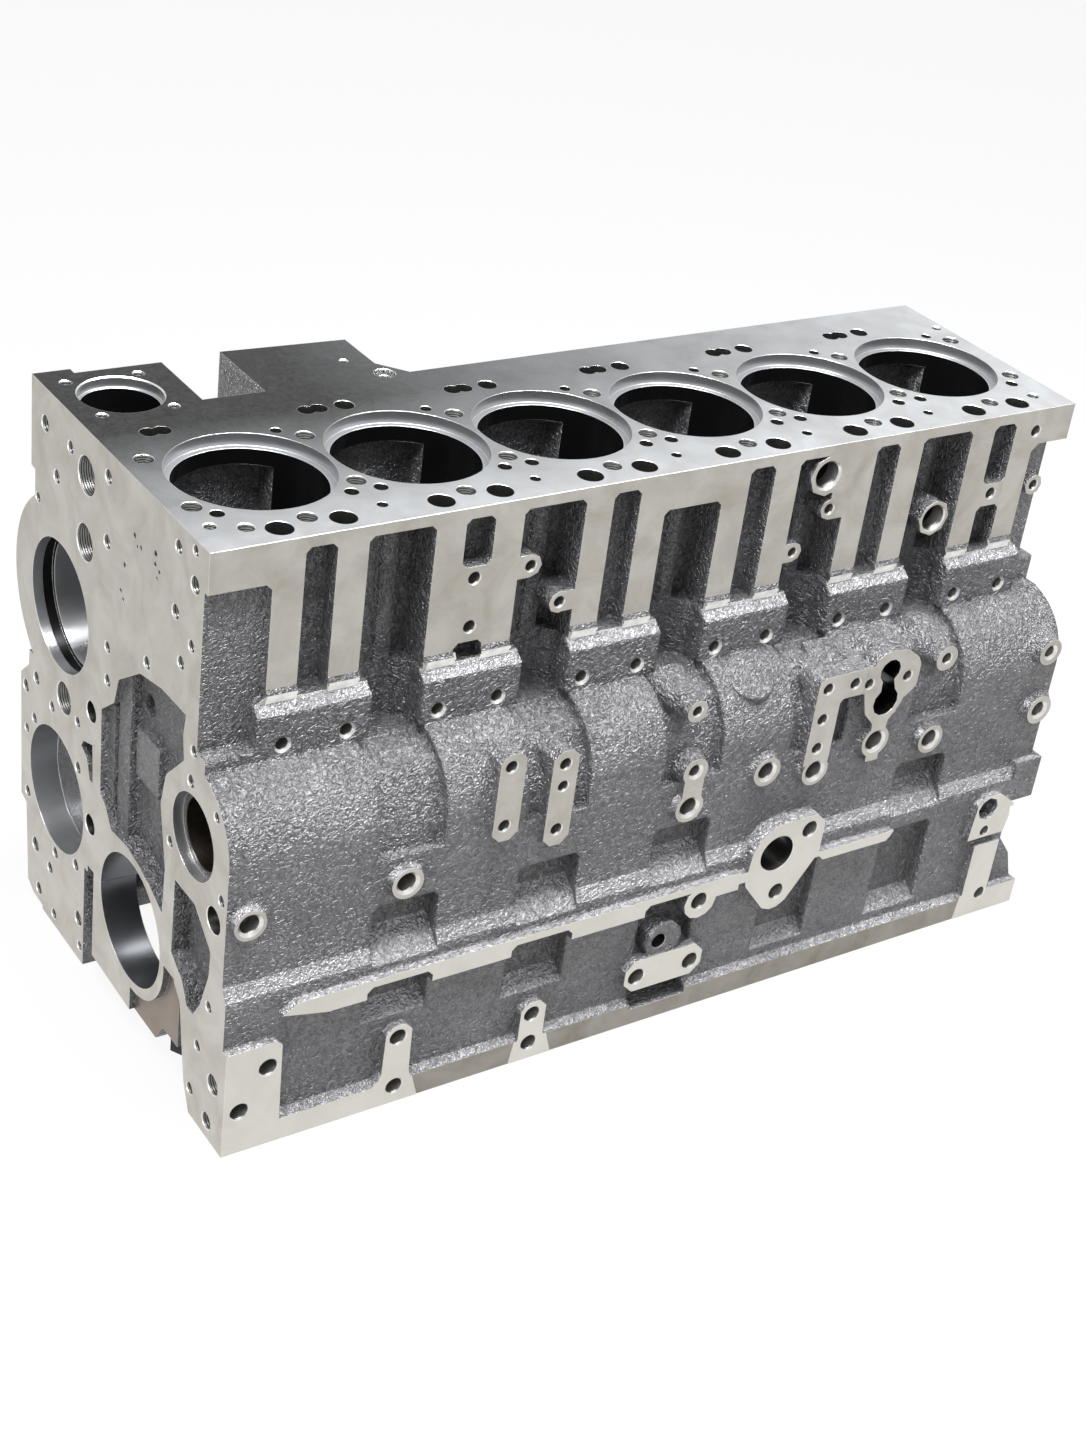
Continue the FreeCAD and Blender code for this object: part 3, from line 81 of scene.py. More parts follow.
# The order of the casting's finishes
CAST, MILLED, GROUND, BORED, TAPPED, CHAMFER_PAINTED_HIGHLIGHT = range(6)
PAD, RAIL_SIDE, PAINTED_SHADE_WALL, SLEEVE, CRANK_WALL, PAINTED_TOP_HIGHLIGHT = range(6, 12)
# The order of a bearing cap's finishes
CAP_CAST, CAP_FRONT, CAP_SET_BACK, CAP_BORE = range(4)

# The ways in which holes go into the metal
INTO_FRONT, INTO_FLANK, INTO_DECK = (1, 0, 0), (0, 1, 0), (0, 0, -1)

# How near a face's middle has to lie to a plane, a pad, a bore or a liner's bore to have its finish
PLANE_REACH = 0.4
PAD_REACH = 0.3
BORE_REACH = 0.7
LINER_REACH = 0.6
# A face looks along an axis when its normal has this much of it, and is upright with this little
SQUARE = 0.99
UPRIGHT = 0.1

DEEPEST_FRONT_BORE = 140.0
# where the liners' bores end, and how deep their registers and the outlet's lip are below the deck
JACKET_FLOOR = 180.0
REGISTER_DEPTH = 11.5
LIP_DEPTH = 9
# the milled upper flank's lower edge
MILLED_FLANK_FOOT = 256.0
# the ledge's sloping top, which is painted bright as a highlight
SHELF_HEIGHTS = (248.0, 264.0)
# the pockets' feet are painted bright as well: across, lowest and highest
POCKET_FEET = (-130.0, -100.0, 122.0)
# the engine mounts' pads on the far side
MOUNT_PAD_HEIGHTS = (-61.0, 21.0)

# How true circles are drawn
HOLE_STEPS = 24
BOSS_STEPS = 36
# A cutter is wider than the flat-sided hole that it takes up, by this factor and this much more
COVER = 1.012
HOLE_SLACK = 0.04
# The plain ring between a hole's chamfer and its first thread
MOUTH_RING = 0.1
FIRST_THREAD = 0.4
# Threads are drawn coarser than the real 1.5 mm ones, so that they show
THREAD_STEP = 2.0
THREAD_ROWS = 7
THREAD_DEPTH = 0.55
# How deep a boss goes straight down before it widens to its root
BOSS_EDGE = 1.2
# Points nearer than this are one point: in a turned shape and in the casting
TURNED_WELD = 0.002
CASTING_WELD = 0.01
# Edges below this angle are drawn round, in degrees
ROUND_BELOW = 28


def hex_colour(code):
    """An sRGB hex colour as linear RGBA."""
    channels = [int(code[place:place + 2], 16) / 255 for place in (1, 3, 5)]
    return tuple(c / 12.92 if c <= 0.04045 else ((c + 0.055) / 1.055) ** 2.4 for c in channels) + (1.0,)


class FinishColours(bpy.types.PropertyGroup):
    cast: bpy.props.FloatVectorProperty(
        name="As cast", description="Shot-blasted sand-cast iron", subtype="COLOR", size=4,
        default=hex_colour("#7b7b7d"), min=0, max=1)
    milled: bpy.props.FloatVectorProperty(
        name="Milled", description="Milled faces of the flank and the front", subtype="COLOR", size=4,
        default=hex_colour("#bebbb5"), min=0, max=1)
    ground: bpy.props.FloatVectorProperty(
        name="Deck", description="Ground cylinder head face", subtype="COLOR", size=4,
        default=hex_colour("#dcdfe2"), min=0, max=1)
    bored: bpy.props.FloatVectorProperty(
        name="Bores", description="Finely bored iron", subtype="COLOR", size=4,
        default=hex_colour("#b2b4b7"), min=0, max=1)
    grain: bpy.props.FloatProperty(
        name="Casting grain", description="Size of one grain of the cast skin", subtype="DISTANCE",
        unit="LENGTH", default=4.6 * MM, min=0.5 * MM, max=10 * MM)


class StudioSettings(bpy.types.PropertyGroup):
    overhead: bpy.props.FloatProperty(
        name="Overhead lamp", description="Power of the large lamp above the block", subtype="POWER",
        unit="POWER", default=210.0, min=0, max=1000)
    front: bpy.props.FloatProperty(
        name="Front lamp", description="Power of the lamp that shines into the front bores", subtype="POWER",
        unit="POWER", default=8.0, min=0, max=1000)
    fill: bpy.props.FloatProperty(
        name="Flank lamp", description="Power of the lamp beside the camshaft flank", subtype="POWER",
        unit="POWER", default=2.5, min=0, max=1000)
    sky: bpy.props.FloatProperty(
        name="Surroundings", description="Brightness of the surroundings as they light the block",
        default=0.05, min=0, max=2)
    floor: bpy.props.FloatVectorProperty(
        name="Floor", description="Colour of the studio floor", subtype="COLOR", size=4,
        default=hex_colour("#cacac8"), min=0, max=1)


# Materials

def add_node(tree, kind, settings=None, links=None, stops=()):
    """Adds one node, sets its properties, unlinked sockets and colour stops, and links its inputs."""
    node = tree.nodes.new(kind)
    for name, value in (settings or {}).items():
        if isinstance(name, str) and hasattr(node, name):
            setattr(node, name, value)
        else:
            node.inputs[name].default_value = value
    for (position, colour), element in zip(stops, node.color_ramp.elements if stops else ()):
        element.position = position
        element.color = colour
    for name, source in (links or {}).items():
        tree.links.new(source, node.inputs[name])
    return node


def new_material(name):
    material = bpy.data.materials.new(name)
    material.use_nodes = True
    material.node_tree.nodes.clear()
    return material, material.node_tree


def shade(colour, factor):
    return tuple(c * factor for c in colour[:3]) + (1.0,)


# Sizes in millimetres that the patterns' scales are worked out from
BLAST_PATCH = 71.43
WATER_STAIN = 45.45
# a few hairs wide in truth, and drawn as coarse as they need to show
DECK_SCRATCH = 11.11
DRILLED_MOTTLE = 6.25
# How wide the edges of the sand's mould and of the cutter's work are rounded
CAST_ROUNDING = 6.0
MILLED_ROUNDING = 0.9
# The height of the relief that the grains, the feed marks and the drill leave
GRAIN_RELIEF = 4.5
FEED_RELIEF = 0.06
DRILL_RELIEF = 0.05
# Feed marks as long, across and high in millimetres, coarser than the real 0.2 mm ones so that they show
LEVEL_FEED = (16.67, 16.67, 1.25)
DECK_FEED = (25.0, 1.429, 25.0)
BORING_FEED = (16.67, 16.67, 1.111)
RAIL_FEED = (1.111, 16.67, 16.67)
NO_FEED = (16.67, 16.67, 16.67)
# The painted dark reflection fades out from the front to the rear and from the tower to the flank, in metres
DARK_REFLECTION_ALONG = (0.88, 0.2)
DARK_REFLECTION_ACROSS = (-0.14, 0.09)


def cast_iron_shot_blasted(name, colour, grain):
    """Grey iron cast in green sand and shot-blasted: a dull satin skin with worm-like grains."""
    material, tree = new_material(name)
    place = add_node(tree, "ShaderNodeTexCoord").outputs["Object"]
    # patches a hand wide, where the blasting left the skin lighter or darker
    patches = add_node(
        tree, "ShaderNodeTexNoise", {"Scale": 1 / (BLAST_PATCH * MM), "Detail": 4.0, "Roughness": 0.6},
        {"Vector": place})
    tone = add_node(
        tree, "ShaderNodeValToRGB", links={"Fac": patches.outputs["Fac"]},
        stops=[(0.3, shade(colour, 0.86)), (0.7, shade(colour, 1.12))])
    # the sand's grains, drawn a little coarse so that they show, and finer ones between them
    grains = add_node(
        tree, "ShaderNodeTexNoise", {"Scale": 1 / grain, "Detail": 2.0, "Roughness": 0.5, "Distortion": 1.5},
        {"Vector": place})
    specks = add_node(
        tree, "ShaderNodeTexNoise", {"Scale": 3 / grain, "Detail": 2.0, "Roughness": 0.6}, {"Vector": place})
    # the hollows between the grains are darker than their tops
    fleck = add_node(
        tree, "ShaderNodeValToRGB", links={"Fac": grains.outputs["Fac"]},
        stops=[(0.34, (0.7, 0.7, 0.7, 1)), (0.66, (1.22, 1.22, 1.22, 1))])
    mixed = add_node(
        tree, "ShaderNodeMix", {"data_type": "RGBA", "blend_type": "MULTIPLY", 0: 1.0},
        {6: tone.outputs["Color"], 7: fleck.outputs["Color"]})
    height = add_node(
        tree, "ShaderNodeMath", {"operation": "MULTIPLY_ADD", 1: 0.35},
        {0: specks.outputs["Fac"], 2: grains.outputs["Fac"]})
    # the mould's edges are all a little round
    soft = add_node(tree, "ShaderNodeBevel", {"samples": 8, "Radius": CAST_ROUNDING * MM})
    bump = add_node(
        tree, "ShaderNodeBump", {"Strength": 1.0, "Distance": GRAIN_RELIEF * MM},
        {"Height": height.outputs[0], "Normal": soft.outputs["Normal"]})
    shader = add_node(
        tree, "ShaderNodeBsdfPrincipled", {"Metallic": 0.75, "Roughness": 0.37},
        {"Base Color": mixed.outputs[2], "Normal": bump.outputs["Normal"]})
    add_node(tree, "ShaderNodeOutputMaterial", links={"Surface": shader.outputs["BSDF"]})
    return material


def painted_edge_highlight(tree, colour_source, bevel, highlight_colour):
    """Mixes in a painted highlight: a bright line along a machined face's edges."""
    shape = add_node(tree, "ShaderNodeNewGeometry")
    agree = add_node(
        tree, "ShaderNodeVectorMath", {"operation": "DOT_PRODUCT"},
        {0: bevel.outputs["Normal"], 1: shape.outputs["True Normal"]})
    edge = add_node(
        tree, "ShaderNodeMapRange", {"From Min": 0.985, "From Max": 0.85, "To Max": 0.75},
        {"Value": agree.outputs["Value"]})
    mixed = add_node(
        tree, "ShaderNodeMix", {"data_type": "RGBA", 7: highlight_colour},
        {0: edge.outputs["Result"], 6: colour_source})
    return mixed.outputs[2]


def painted_dark_reflection(tree, axes, colour_source):
    """Paints a dark reflection on the deck over the tower and beside the front cylinders, broken by
    scratches.
    """
    place = add_node(tree, "ShaderNodeTexCoord").outputs["Object"]
    along = add_node(
        tree, "ShaderNodeMapRange", {"From Min": DARK_REFLECTION_ALONG[0], "From Max": DARK_REFLECTION_ALONG[1]},
        {"Value": axes.outputs["X"]})
    across = add_node(
        tree, "ShaderNodeMapRange", {"From Min": DARK_REFLECTION_ACROSS[0], "From Max": DARK_REFLECTION_ACROSS[1]},
        {"Value": axes.outputs["Y"]})
    reflection_zone = add_node(
        tree, "ShaderNodeMath", {"operation": "MULTIPLY", "use_clamp": True},
        {0: along.outputs["Result"], 1: across.outputs["Result"]})
    # scratches run every way through the painted dark reflection
    scratches = add_node(
        tree, "ShaderNodeTexNoise",
        {"Scale": 1 / (DECK_SCRATCH * MM), "Detail": 6.0, "Roughness": 0.75, "Distortion": 2.0},
        {"Vector": place})
    broken = add_node(
        tree, "ShaderNodeMapRange", {"From Min": 0.3, "From Max": 0.62, "To Min": 1.0, "To Max": 0.93},
        {"Value": scratches.outputs["Fac"]})
    share = add_node(
        tree, "ShaderNodeMath", {"operation": "MULTIPLY"}, {0: reflection_zone.outputs[0], 1: broken.outputs["Result"]})
    # the near-black of the painted dark reflection
    mixed = add_node(
        tree, "ShaderNodeMix", {"data_type": "RGBA", 7: hex_colour("#1c1c1c")},
        {0: share.outputs[0], 6: colour_source})
    return mixed.outputs[2]


def machined_iron(name, colour, roughness, feed, low_painted_light_colour=None, stain=0.12, metallic=0.85, with_painted_reflection=False):
    """Milled, ground or bored grey iron: satin metal with faint stains, fine feed marks and a painted
    highlight along its edges.
    """
    material, tree = new_material(name)
    place = add_node(tree, "ShaderNodeTexCoord").outputs["Object"]
    axes = add_node(tree, "ShaderNodeSeparateXYZ", links={"Vector": place})
    # painted light: paler towards the pan rail
    height = add_node(
        tree, "ShaderNodeMapRange", {"From Min": RAIL * MM, "From Max": DECK * MM},
        {"Value": axes.outputs["Z"]})
    clean = add_node(
        tree, "ShaderNodeValToRGB", links={"Fac": height.outputs["Result"]},
        stops=[(0.0, low_painted_light_colour or colour), (0.62, colour)])
    # brown water stains
    stains = add_node(
        tree, "ShaderNodeTexNoise",
        {"Scale": 1 / (WATER_STAIN * MM), "Detail": 5.0, "Roughness": 0.65, "Distortion": 0.6},
        {"Vector": place})
    dirt = add_node(
        tree, "ShaderNodeValToRGB", links={"Fac": stains.outputs["Fac"]},
        stops=[(0.3, (1 - stain, 1 - stain * 1.08, 1 - stain * 1.25, 1)), (0.62, (1, 1, 1, 1))])
    mixed = add_node(
        tree, "ShaderNodeMix", {"data_type": "RGBA", "blend_type": "MULTIPLY", 0: 1.0},
        {6: clean.outputs["Color"], 7: dirt.outputs["Color"]})
    tint = mixed.outputs[2]
    # a painted dark reflection on the deck's front corner
    if with_painted_reflection:
        tint = painted_dark_reflection(tree, axes, tint)
    stretch = add_node(
        tree, "ShaderNodeMapping", {"Scale": tuple(1 / (length * MM) for length in feed)}, {"Vector": place})
    lines = add_node(
        tree, "ShaderNodeTexNoise", {"Scale": 1.0, "Detail": 3.0, "Roughness": 0.6},
        {"Vector": stretch.outputs["Vector"]})
    crisp = add_node(tree, "ShaderNodeBevel", {"samples": 6, "Radius": MILLED_ROUNDING * MM})
    bump = add_node(
        tree, "ShaderNodeBump", {"Strength": 0.14, "Distance": FEED_RELIEF * MM},
        {"Height": lines.outputs["Fac"], "Normal": crisp.outputs["Normal"]})
    # the stains are duller than the clean metal
    gloss = add_node(
        tree, "ShaderNodeMapRange", {"To Min": roughness * 0.85, "To Max": roughness * 1.2},
        {"Value": stains.outputs["Fac"]})
    # the near-white line along the edges is a painted highlight
    shader = add_node(
        tree, "ShaderNodeBsdfPrincipled", {"Metallic": metallic},
        {"Base Color": painted_edge_highlight(tree, tint, crisp, hex_colour("#efeeea")),
         "Roughness": gloss.outputs["Result"], "Normal": bump.outputs["Normal"]})
    add_node(tree, "ShaderNodeOutputMaterial", links={"Surface": shader.outputs["BSDF"]})
    return material


def turned_metal(name, colour, roughness):
    """A small turned, drilled or pressed surface: bright metal with a faint mottle."""
    material, tree = new_material(name)
    place = add_node(tree, "ShaderNodeTexCoord").outputs["Object"]
    mottle = add_node(
        tree, "ShaderNodeTexNoise", {"Scale": 1 / (DRILLED_MOTTLE * MM), "Detail": 3.0}, {"Vector": place})
    tone = add_node(
        tree, "ShaderNodeValToRGB", links={"Fac": mottle.outputs["Fac"]},
        stops=[(0.3, shade(colour, 0.82)), (0.7, shade(colour, 1.08))])
    bump = add_node(
        tree, "ShaderNodeBump", {"Strength": 0.15, "Distance": DRILL_RELIEF * MM},
        {"Height": mottle.outputs["Fac"]})
    shader = add_node(
        tree, "ShaderNodeBsdfPrincipled", {"Metallic": 1.0, "Roughness": roughness},
        {"Base Color": tone.outputs["Color"], "Normal": bump.outputs["Normal"]})
    add_node(tree, "ShaderNodeOutputMaterial", links={"Surface": shader.outputs["BSDF"]})
    return material


# Mesh work

# Turned shapes that are used again, by their profile
turned = {}


def facing(place, way):
    """Turns +Z to the given way and moves it to a place in millimetres."""
    turn = Vector((0, 0, 1)).rotation_difference(Vector(way)).to_matrix().to_4x4()
    return Matrix.Translation(Vector(place) * MM) @ turn


def lathe(bm, sections, place, way, steps):
    """Spins sections of (finish, [(radius, depth), ...]) about an axis that goes the given way."""
    key = (steps, tuple((finish, tuple(points)) for finish, points in sections))
    if key not in turned:
        part = bmesh.new()
        for finish, points in sections:
            first_face = len(part.faces)
            verts = [part.verts.new((radius * MM, 0, depth * MM)) for radius, depth in points]
            edges = [part.edges.new(pair) for pair in zip(verts, verts[1:])]
            bmesh.ops.spin(
                part, geom=verts + edges, axis=(0, 0, 1), cent=(0, 0, 0), steps=steps, angle=math.tau,
                use_merge=True)
            part.faces.ensure_lookup_table()
            for face in part.faces[first_face:]:
                face.material_index = finish
        bmesh.ops.remove_doubles(part, verts=part.verts, dist=TURNED_WELD * MM)
        bmesh.ops.recalc_face_normals(part, faces=part.faces)
        turned[key] = bpy.data.meshes.new("turned")
        part.to_mesh(turned[key])
        part.free()
    copy = turned[key].copy()
    copy.transform(facing(place, way))
    bm.from_mesh(copy)
    bpy.data.meshes.remove(copy)


def hole(bm, place, way, radius, depth, thread=True, chamfer=0.9, ring=0.0):
    """A drilled or tapped hole as a solid to cut away, with a chamfer or a wider ring at its mouth."""
    bore = radius * COVER + HOLE_SLACK
    wide = max(bore + chamfer, ring)
    mouth = (bore + MOUTH_RING, wide - bore - MOUTH_RING)
    # the chamfer at the mouth is painted bright as a highlight
    sections = [(CHAMFER_PAINTED_HIGHLIGHT, [(0, -1), (wide + 1, -1), mouth])]
    points = [mouth]
    start = wide - bore + FIRST_THREAD
    if thread:
        for row in range(THREAD_ROWS):
            points.append((bore + THREAD_DEPTH, start + row * THREAD_STEP))
            points.append((bore, start + (row + 0.5) * THREAD_STEP))
    last = max(depth, points[-1][1] + 1)
    points += [(bore, last), (0, last + radius * 0.5)]
    lathe(bm, sections + [(TAPPED, points)], place, way, HOLE_STEPS)


def boss(bm, place, way, radius, proud, root, flare, finish=MILLED):
    """A round cast boss with a machined face, widening to its root."""
    face = radius * COVER
    lathe(bm, [
        (finish, [(0, -proud), (face, -proud)]),
        (CAST, [(face, -proud), (face, BOSS_EDGE), (face + flare, root), (0, root)]),
    ], place, way, BOSS_STEPS)


def block_shape(bm, low, high, finish=CAST):
    """A box between two corners in millimetres."""
    first_face = len(bm.faces)
    middle = [(a + b) / 2 for a, b in zip(low, high)]
    size = [b - a for a, b in zip(low, high)]
    stretch = Matrix.Diagonal((*[s * MM for s in size], 1))
    bmesh.ops.create_cube(bm, size=1.0, matrix=Matrix.Translation(Vector(middle) * MM) @ stretch)
    bm.faces.ensure_lookup_table()
    for face in bm.faces[first_face:]:
        face.material_index = finish


def outline_solid(bm, points, near, far, plane, finish=CAST, back=CAST):
    """Extrudes an outline in the XZ, YZ or XY plane, from near to far along the third axis."""
    spots = {
        "XZ": lambda a, b, c: (a, c, b),
        "YZ": lambda a, b, c: (c, a, b),
        "XY": lambda a, b, c: (a, b, c),
    }[plane]
    verts = [bm.verts.new(Vector(spots(a, b, near)) * MM) for a, b in points]
    face = bm.faces.new(verts)
    face.material_index = finish
    way = Vector(spots(0, 0, far)) - Vector(spots(0, 0, near))
    grown = bmesh.ops.extrude_face_region(bm, geom=[face])
    new = [item for item in grown["geom"] if isinstance(item, bmesh.types.BMVert)]
    bmesh.ops.translate(bm, vec=way * MM, verts=new)
    for edge in [edge for vert in new for edge in vert.link_edges]:
        for side in edge.link_faces:
            side.material_index = back


def rounded_points(points, steps=5):
    """Corners (a, b) or (a, b, radius) as a list of points with the round corners drawn."""
    drawn = []
    count = len(points)
    for n, point in enumerate(points):
        here = Vector(point[:2])
        if len(point) < 3:
            drawn.append(tuple(here))
            continue
        before = (Vector(points[n - 1][:2]) - here).normalized()
        after = (Vector(points[(n + 1) % count][:2]) - here).normalized()
        half = before.angle(after) / 2
        reach = point[2] / math.tan(half)
        centre = here + (before + after).normalized() * (point[2] / math.sin(half))
        start = here + before * reach - centre
        swing = here + after * reach - centre
        sweep = start.angle_signed(swing)
        for step in range(steps + 1):
            angle = -sweep * step / steps
            turn = Matrix.Rotation(angle, 2)
            drawn.append(tuple(centre + turn @ start))
    return drawn


def double_hole(x, y, radius, reach, steps=11):
    """The outline of two round holes that run into each other, side by side along X."""
    waist = math.acos(reach / radius)
    points = []
    for side in (1, -1):
        for step in range(steps + 1):
            angle = (-math.pi + waist) + (math.tau - 2 * waist) * step / steps
            along = x + side * (reach + radius * math.cos(angle))
            points.append((along, y + side * radius * math.sin(angle)))
    return points


def as_object(name, bm, materials):
    """A bmesh with its faces outwards, as an object in the scene."""
    bmesh.ops.recalc_face_normals(bm, faces=bm.faces)
    mesh = bpy.data.meshes.new(name)
    bm.to_mesh(mesh)
    bm.free()
    for material in materials:
        mesh.materials.append(material)
    made = bpy.data.objects.new(name, mesh)
    bpy.context.scene.collection.objects.link(made)
    return made


def carve(piece, tool, operation):
    """Joins the tool to the piece or cuts it away, and deletes the tool."""
    modifier = piece.modifiers.new(operation.lower(), "BOOLEAN")
    modifier.operation = operation
    modifier.solver = "EXACT"
    modifier.object = tool
    graph = bpy.context.evaluated_depsgraph_get()
    mesh = bpy.data.meshes.new_from_object(piece.evaluated_get(graph))
    if not mesh.polygons:
        raise RuntimeError(f"the {operation.lower()} left nothing of {piece.name}")
    piece.modifiers.clear()
    clean = bmesh.new()
    clean.from_mesh(mesh)
    bmesh.ops.remove_doubles(clean, verts=clean.verts, dist=CASTING_WELD * MM)
    clean.to_mesh(mesh)
    clean.free()
    old = piece.data
    piece.data = mesh
    mesh.name = piece.name
    bpy.data.meshes.remove(old)
    bpy.data.objects.remove(tool)


def smooth_by_angle(piece, degrees):
    """Draws the piece round, apart from its edges that are sharper than this angle."""
    piece.data.shade_smooth()
    piece.data.set_sharp_from_angle(angle=math.radians(degrees))


# The casting's details, from the front of the block to its rear

# The front face's ports: across, height, radius, depth
FRONT_PORTS = (
    (102, 354, 15.5, 26), (103, 296, 15, 26), (139, 133, 14, 26), (84, 151.5, 9, 26), (82, 42.5, 9, 26),
    (-144.5, 99, 11, 26),
)
# Across, height, radius
FRONT_TAPPED = (
    (-158, -51.5, 8.5), (-151, -94, 7), (-88.5, 357, 6.5), (196.5, -51, 6.5), (183, 362, 6.5),
    (102, -68, 6.5), (159, 326.7, 5.5), (62, 372, 5.5), (62, 317, 5.5), (-59, 320, 5.5),
    (197, 120, 5.5), (219.6, 100, 5.5), (188, -93.4, 5.5), (133, 364, 5), (-60, 373.7, 5),
    (-71, 283.4, 5), (-14.5, 252, 5), (55, 197.4, 5), (108.5, 83, 5), (214.6, -5.5, 5),
    (109.4, -16.3, 5), (153, -32, 5), (164, -55.2, 5), (-96.4, 195, 5), (-120, -84.6, 5),
    (56.6, 227, 4.5), (-86.8, 306, 4.5), (163.6, 110.8, 4.5), (110.8, 126.3, 4.5), (201, 77.8, 4.5),
    (154.3, -98.7, 4.5), (-98.9, 222.8, 4.5), (-66.2, 121, 4.5), (-155, 124, 4.5), (-144.3, 16, 4.5),
    (-129, -34, 4.5), (-87, 384, 4), (196.4, 291, 4), (217.4, 58.8, 4), (-140.6, 190, 4),
    (98.4, -95, 4),
)
# Small blow holes on the front face: across, height, radius
FRONT_PITS = (
    (12.8, 347, 3.2), (1.5, 342, 2.6), (-23.5, 350, 3.4), (-23.3, 341, 2.8), (-30.5, 338, 2.2),
    (28.9, 314, 3.0), (34.6, 289, 2.6), (-27, 331, 2.0), (30, 284, 2.0), (8, 340, 1.8),
)

# How deep the tapped holes are, by the face that they are in
FRONT_DEPTH, FLANK_DEPTH, HOUSING_DEPTH, PAD_DEPTH, RAIL_DEPTH = 20, 16, 21, 18, 20
# How wide the chamfers of ports, deck holes, head bolts' holes and small plain holes are
PORT_CHAMFER, DECK_CHAMFER, BOLT_CHAMFER, FINE_CHAMFER = 0.8, 0.35, 0.4, 0.3
# A port wider than this is threaded
WIDE_PORT = 12
PIT_STEPS = 7

# The flank's tapped holes by the face that they are in: along, height, radius
FLANK_TAPPED = (
    (224, 331.5, 5), (224.5, 289, 5), (275, 333, 4.5), (307, 295, 4.5), (574.5, 332.5, 4.5),
    (542.5, 297, 4), (764.5, 317, 5), (803, 372, 5),
)
HOUSING_TAPPED = (
    (17.5, 107, 8), (153, 107, 8), (425.5, 107, 8), (425.5, 143, 5), (505.5, 123, 7.5), (561, 110, 8.2),
    (626.5, 125, 9), (695.5, 111, 8), (826.5, 174, 5.3), (831.5, 111, 7),
)
HOUSING_PAD_TAPPED = (
    (237.5, 194, 5), (237.5, 138.6, 5), (289.4, 184, 5), (289.9, 163, 4.5), (289.4, 121.6, 5),
    (557.2, 194, 5), (587.4, 193, 5), (604, 189, 4.5), (557.7, 163.3, 5), (558.2, 134.1, 5), (648, 188, 4.5),
)
HIGH_TAPPED = ((419.5, 201, 4.5), (696.5, 193, 5))
RAIL_TAPPED = (
    (37, -31, 7.5), (14, -68, 7.5), (154.5, -41.5, 7.2), (155.5, -93, 7.2), (286.5, -62, 7.2),
    (287, -93, 7.2), (393.5, -57, 7.8), (451.5, -57.5, 7.8), (449.5, 8, 8), (563, 53, 7.8),
    (537.5, -7, 7.5), (791, -10, 5), (807, -87, 6),
)

# The ledge's bolts beside each bore: how far ahead of it, their height, and their radius and ring
LEDGE_BOLTS = (-23, 31.5)
LEDGE_BOLT_HEIGHT = 225
LEDGE_BOLT = (5, 7.2)
# The width of the milled seat about a hole of the camshaft housing
HOUSING_SEAT = 2.6
# Along, height, radius, depth
REAR_FLANK_HOLE = (817, 317, 4.5, 12)
DRAIN = (529.5, 36, 17.5, 36)
SENSOR_HOLE = (413, -25, 7, 20)
SENSOR_SEAT = -177
# The two wide ports between the bars: along, height and radius of the ring
FLANK_PORTS = ((566, 365, 13.8), (700.5, 303, 13.2))
FLANK_PORT_RADIUS = 11.7
FLANK_PORT_DEPTH = 40

# How far the drawn bosses stand out from the plain ones that they cover
BOSS_PROUD = 0.15
# Along, height, radius of the face, height of the root below the face and how much wider the root is
ROUND_BOSSES = (
    (17.5, 107, 13.5, 9, 3.5), (153, 107, 14, 9, 4), (425.5, 107, 14, 9, 4), (425.5, 143, 12.5, 12, 4),
    (505.5, 123, 14, 9, 6), (561, 110, 14, 9, 5), (626.5, 125, 15, 9, 5), (695.5, 111, 14, 9, 4),
    (826.5, 174, 13, 26, 9), (831.5, 111, 14.5, 9, 6),
)
HIGH_BOSS_ROOTS = ((419.5, 201, 10, 46, 11), (696.5, 193, 12, 46, 10))

# Where each upright bar of the flank starts and ends, along
BAR_SPANS = (
    (51, 77), (103, 129), (188, 214), (237, 264), (322, 347), (373, 399), (457, 481), (507, 533), (590, 615),
    (641, 665), (724, 749), (775, 802),
)
# The milled foot of a bar, across and height: it ends in a chamfer above the shelf, painted bright as a
# highlight
BAR_FOOT = (
    (FLANK + 3, 268.5), (FLANK, 268.5), (FLANK - 2.4, 264.5), (FLANK - 2.4, 263), (FLANK - 1, 263),
    (FLANK - 1, 255), (FLANK + 3, 255),
)
# What is cut off the ledge's top, across and height
SHELF_SLOPE = ((FLANK - 0.3, 266), (FLANK - 0.3, 259), (-119.5, 251), (-119.5, 266))

# The cooler flange's column and the left end of its band, which stand in front of a web's hollow
COOLER_COLUMN = (
    (546, 118), (573.5, 118), (573.5, 180.5, 6), (598, 180.5), (598, 206), (546, 206, 8),
)
COOLER_RING = (
    (600, 181), (600, 206), (605.6, 206), (605.6, 217.6, 15), (641, 217.6, 15), (661, 200, 11),
    (661, 175, 11), (647, 165, 5), (635.2, 145, 6), (635.2, 128), (618.2, 128), (618.2, 145, 8),
    (606, 158, 8),
)
# The cooler port's two round ends, along, height and radius, and how deep it is
COOLER_PORT = ((625.6, 197.6, 11.5), (627.6, 166.4, 14))
COOLER_PORT_FLOOR = -132
# The backs of the column and of the ring, which stay inside their faces
COLUMN_BACK = -150
RING_BACK = -152
RING_PROUD = 0.3
# The round ribs from the cooler flange back to the ledge: along, height, radius
COOLER_RIBS = ((560.5, 191, 14), (625.5, 196, 21))
RIB_START = -170
RIB_LENGTH = 60
# The cast walls behind the flange and its column: their outline across and in height, then their span along
FLANGE_WALL = ((-168, 183), (-168, 203), (-152, 197), (-122, 213), (-122, 183))
FLANGE_WALL_SPAN = (562, 612)
COLUMN_WALL = ((-166, 120), (-166, 186), (-128, 186), (-128, 120))
COLUMN_WALL_SPAN = (548.5, 571)

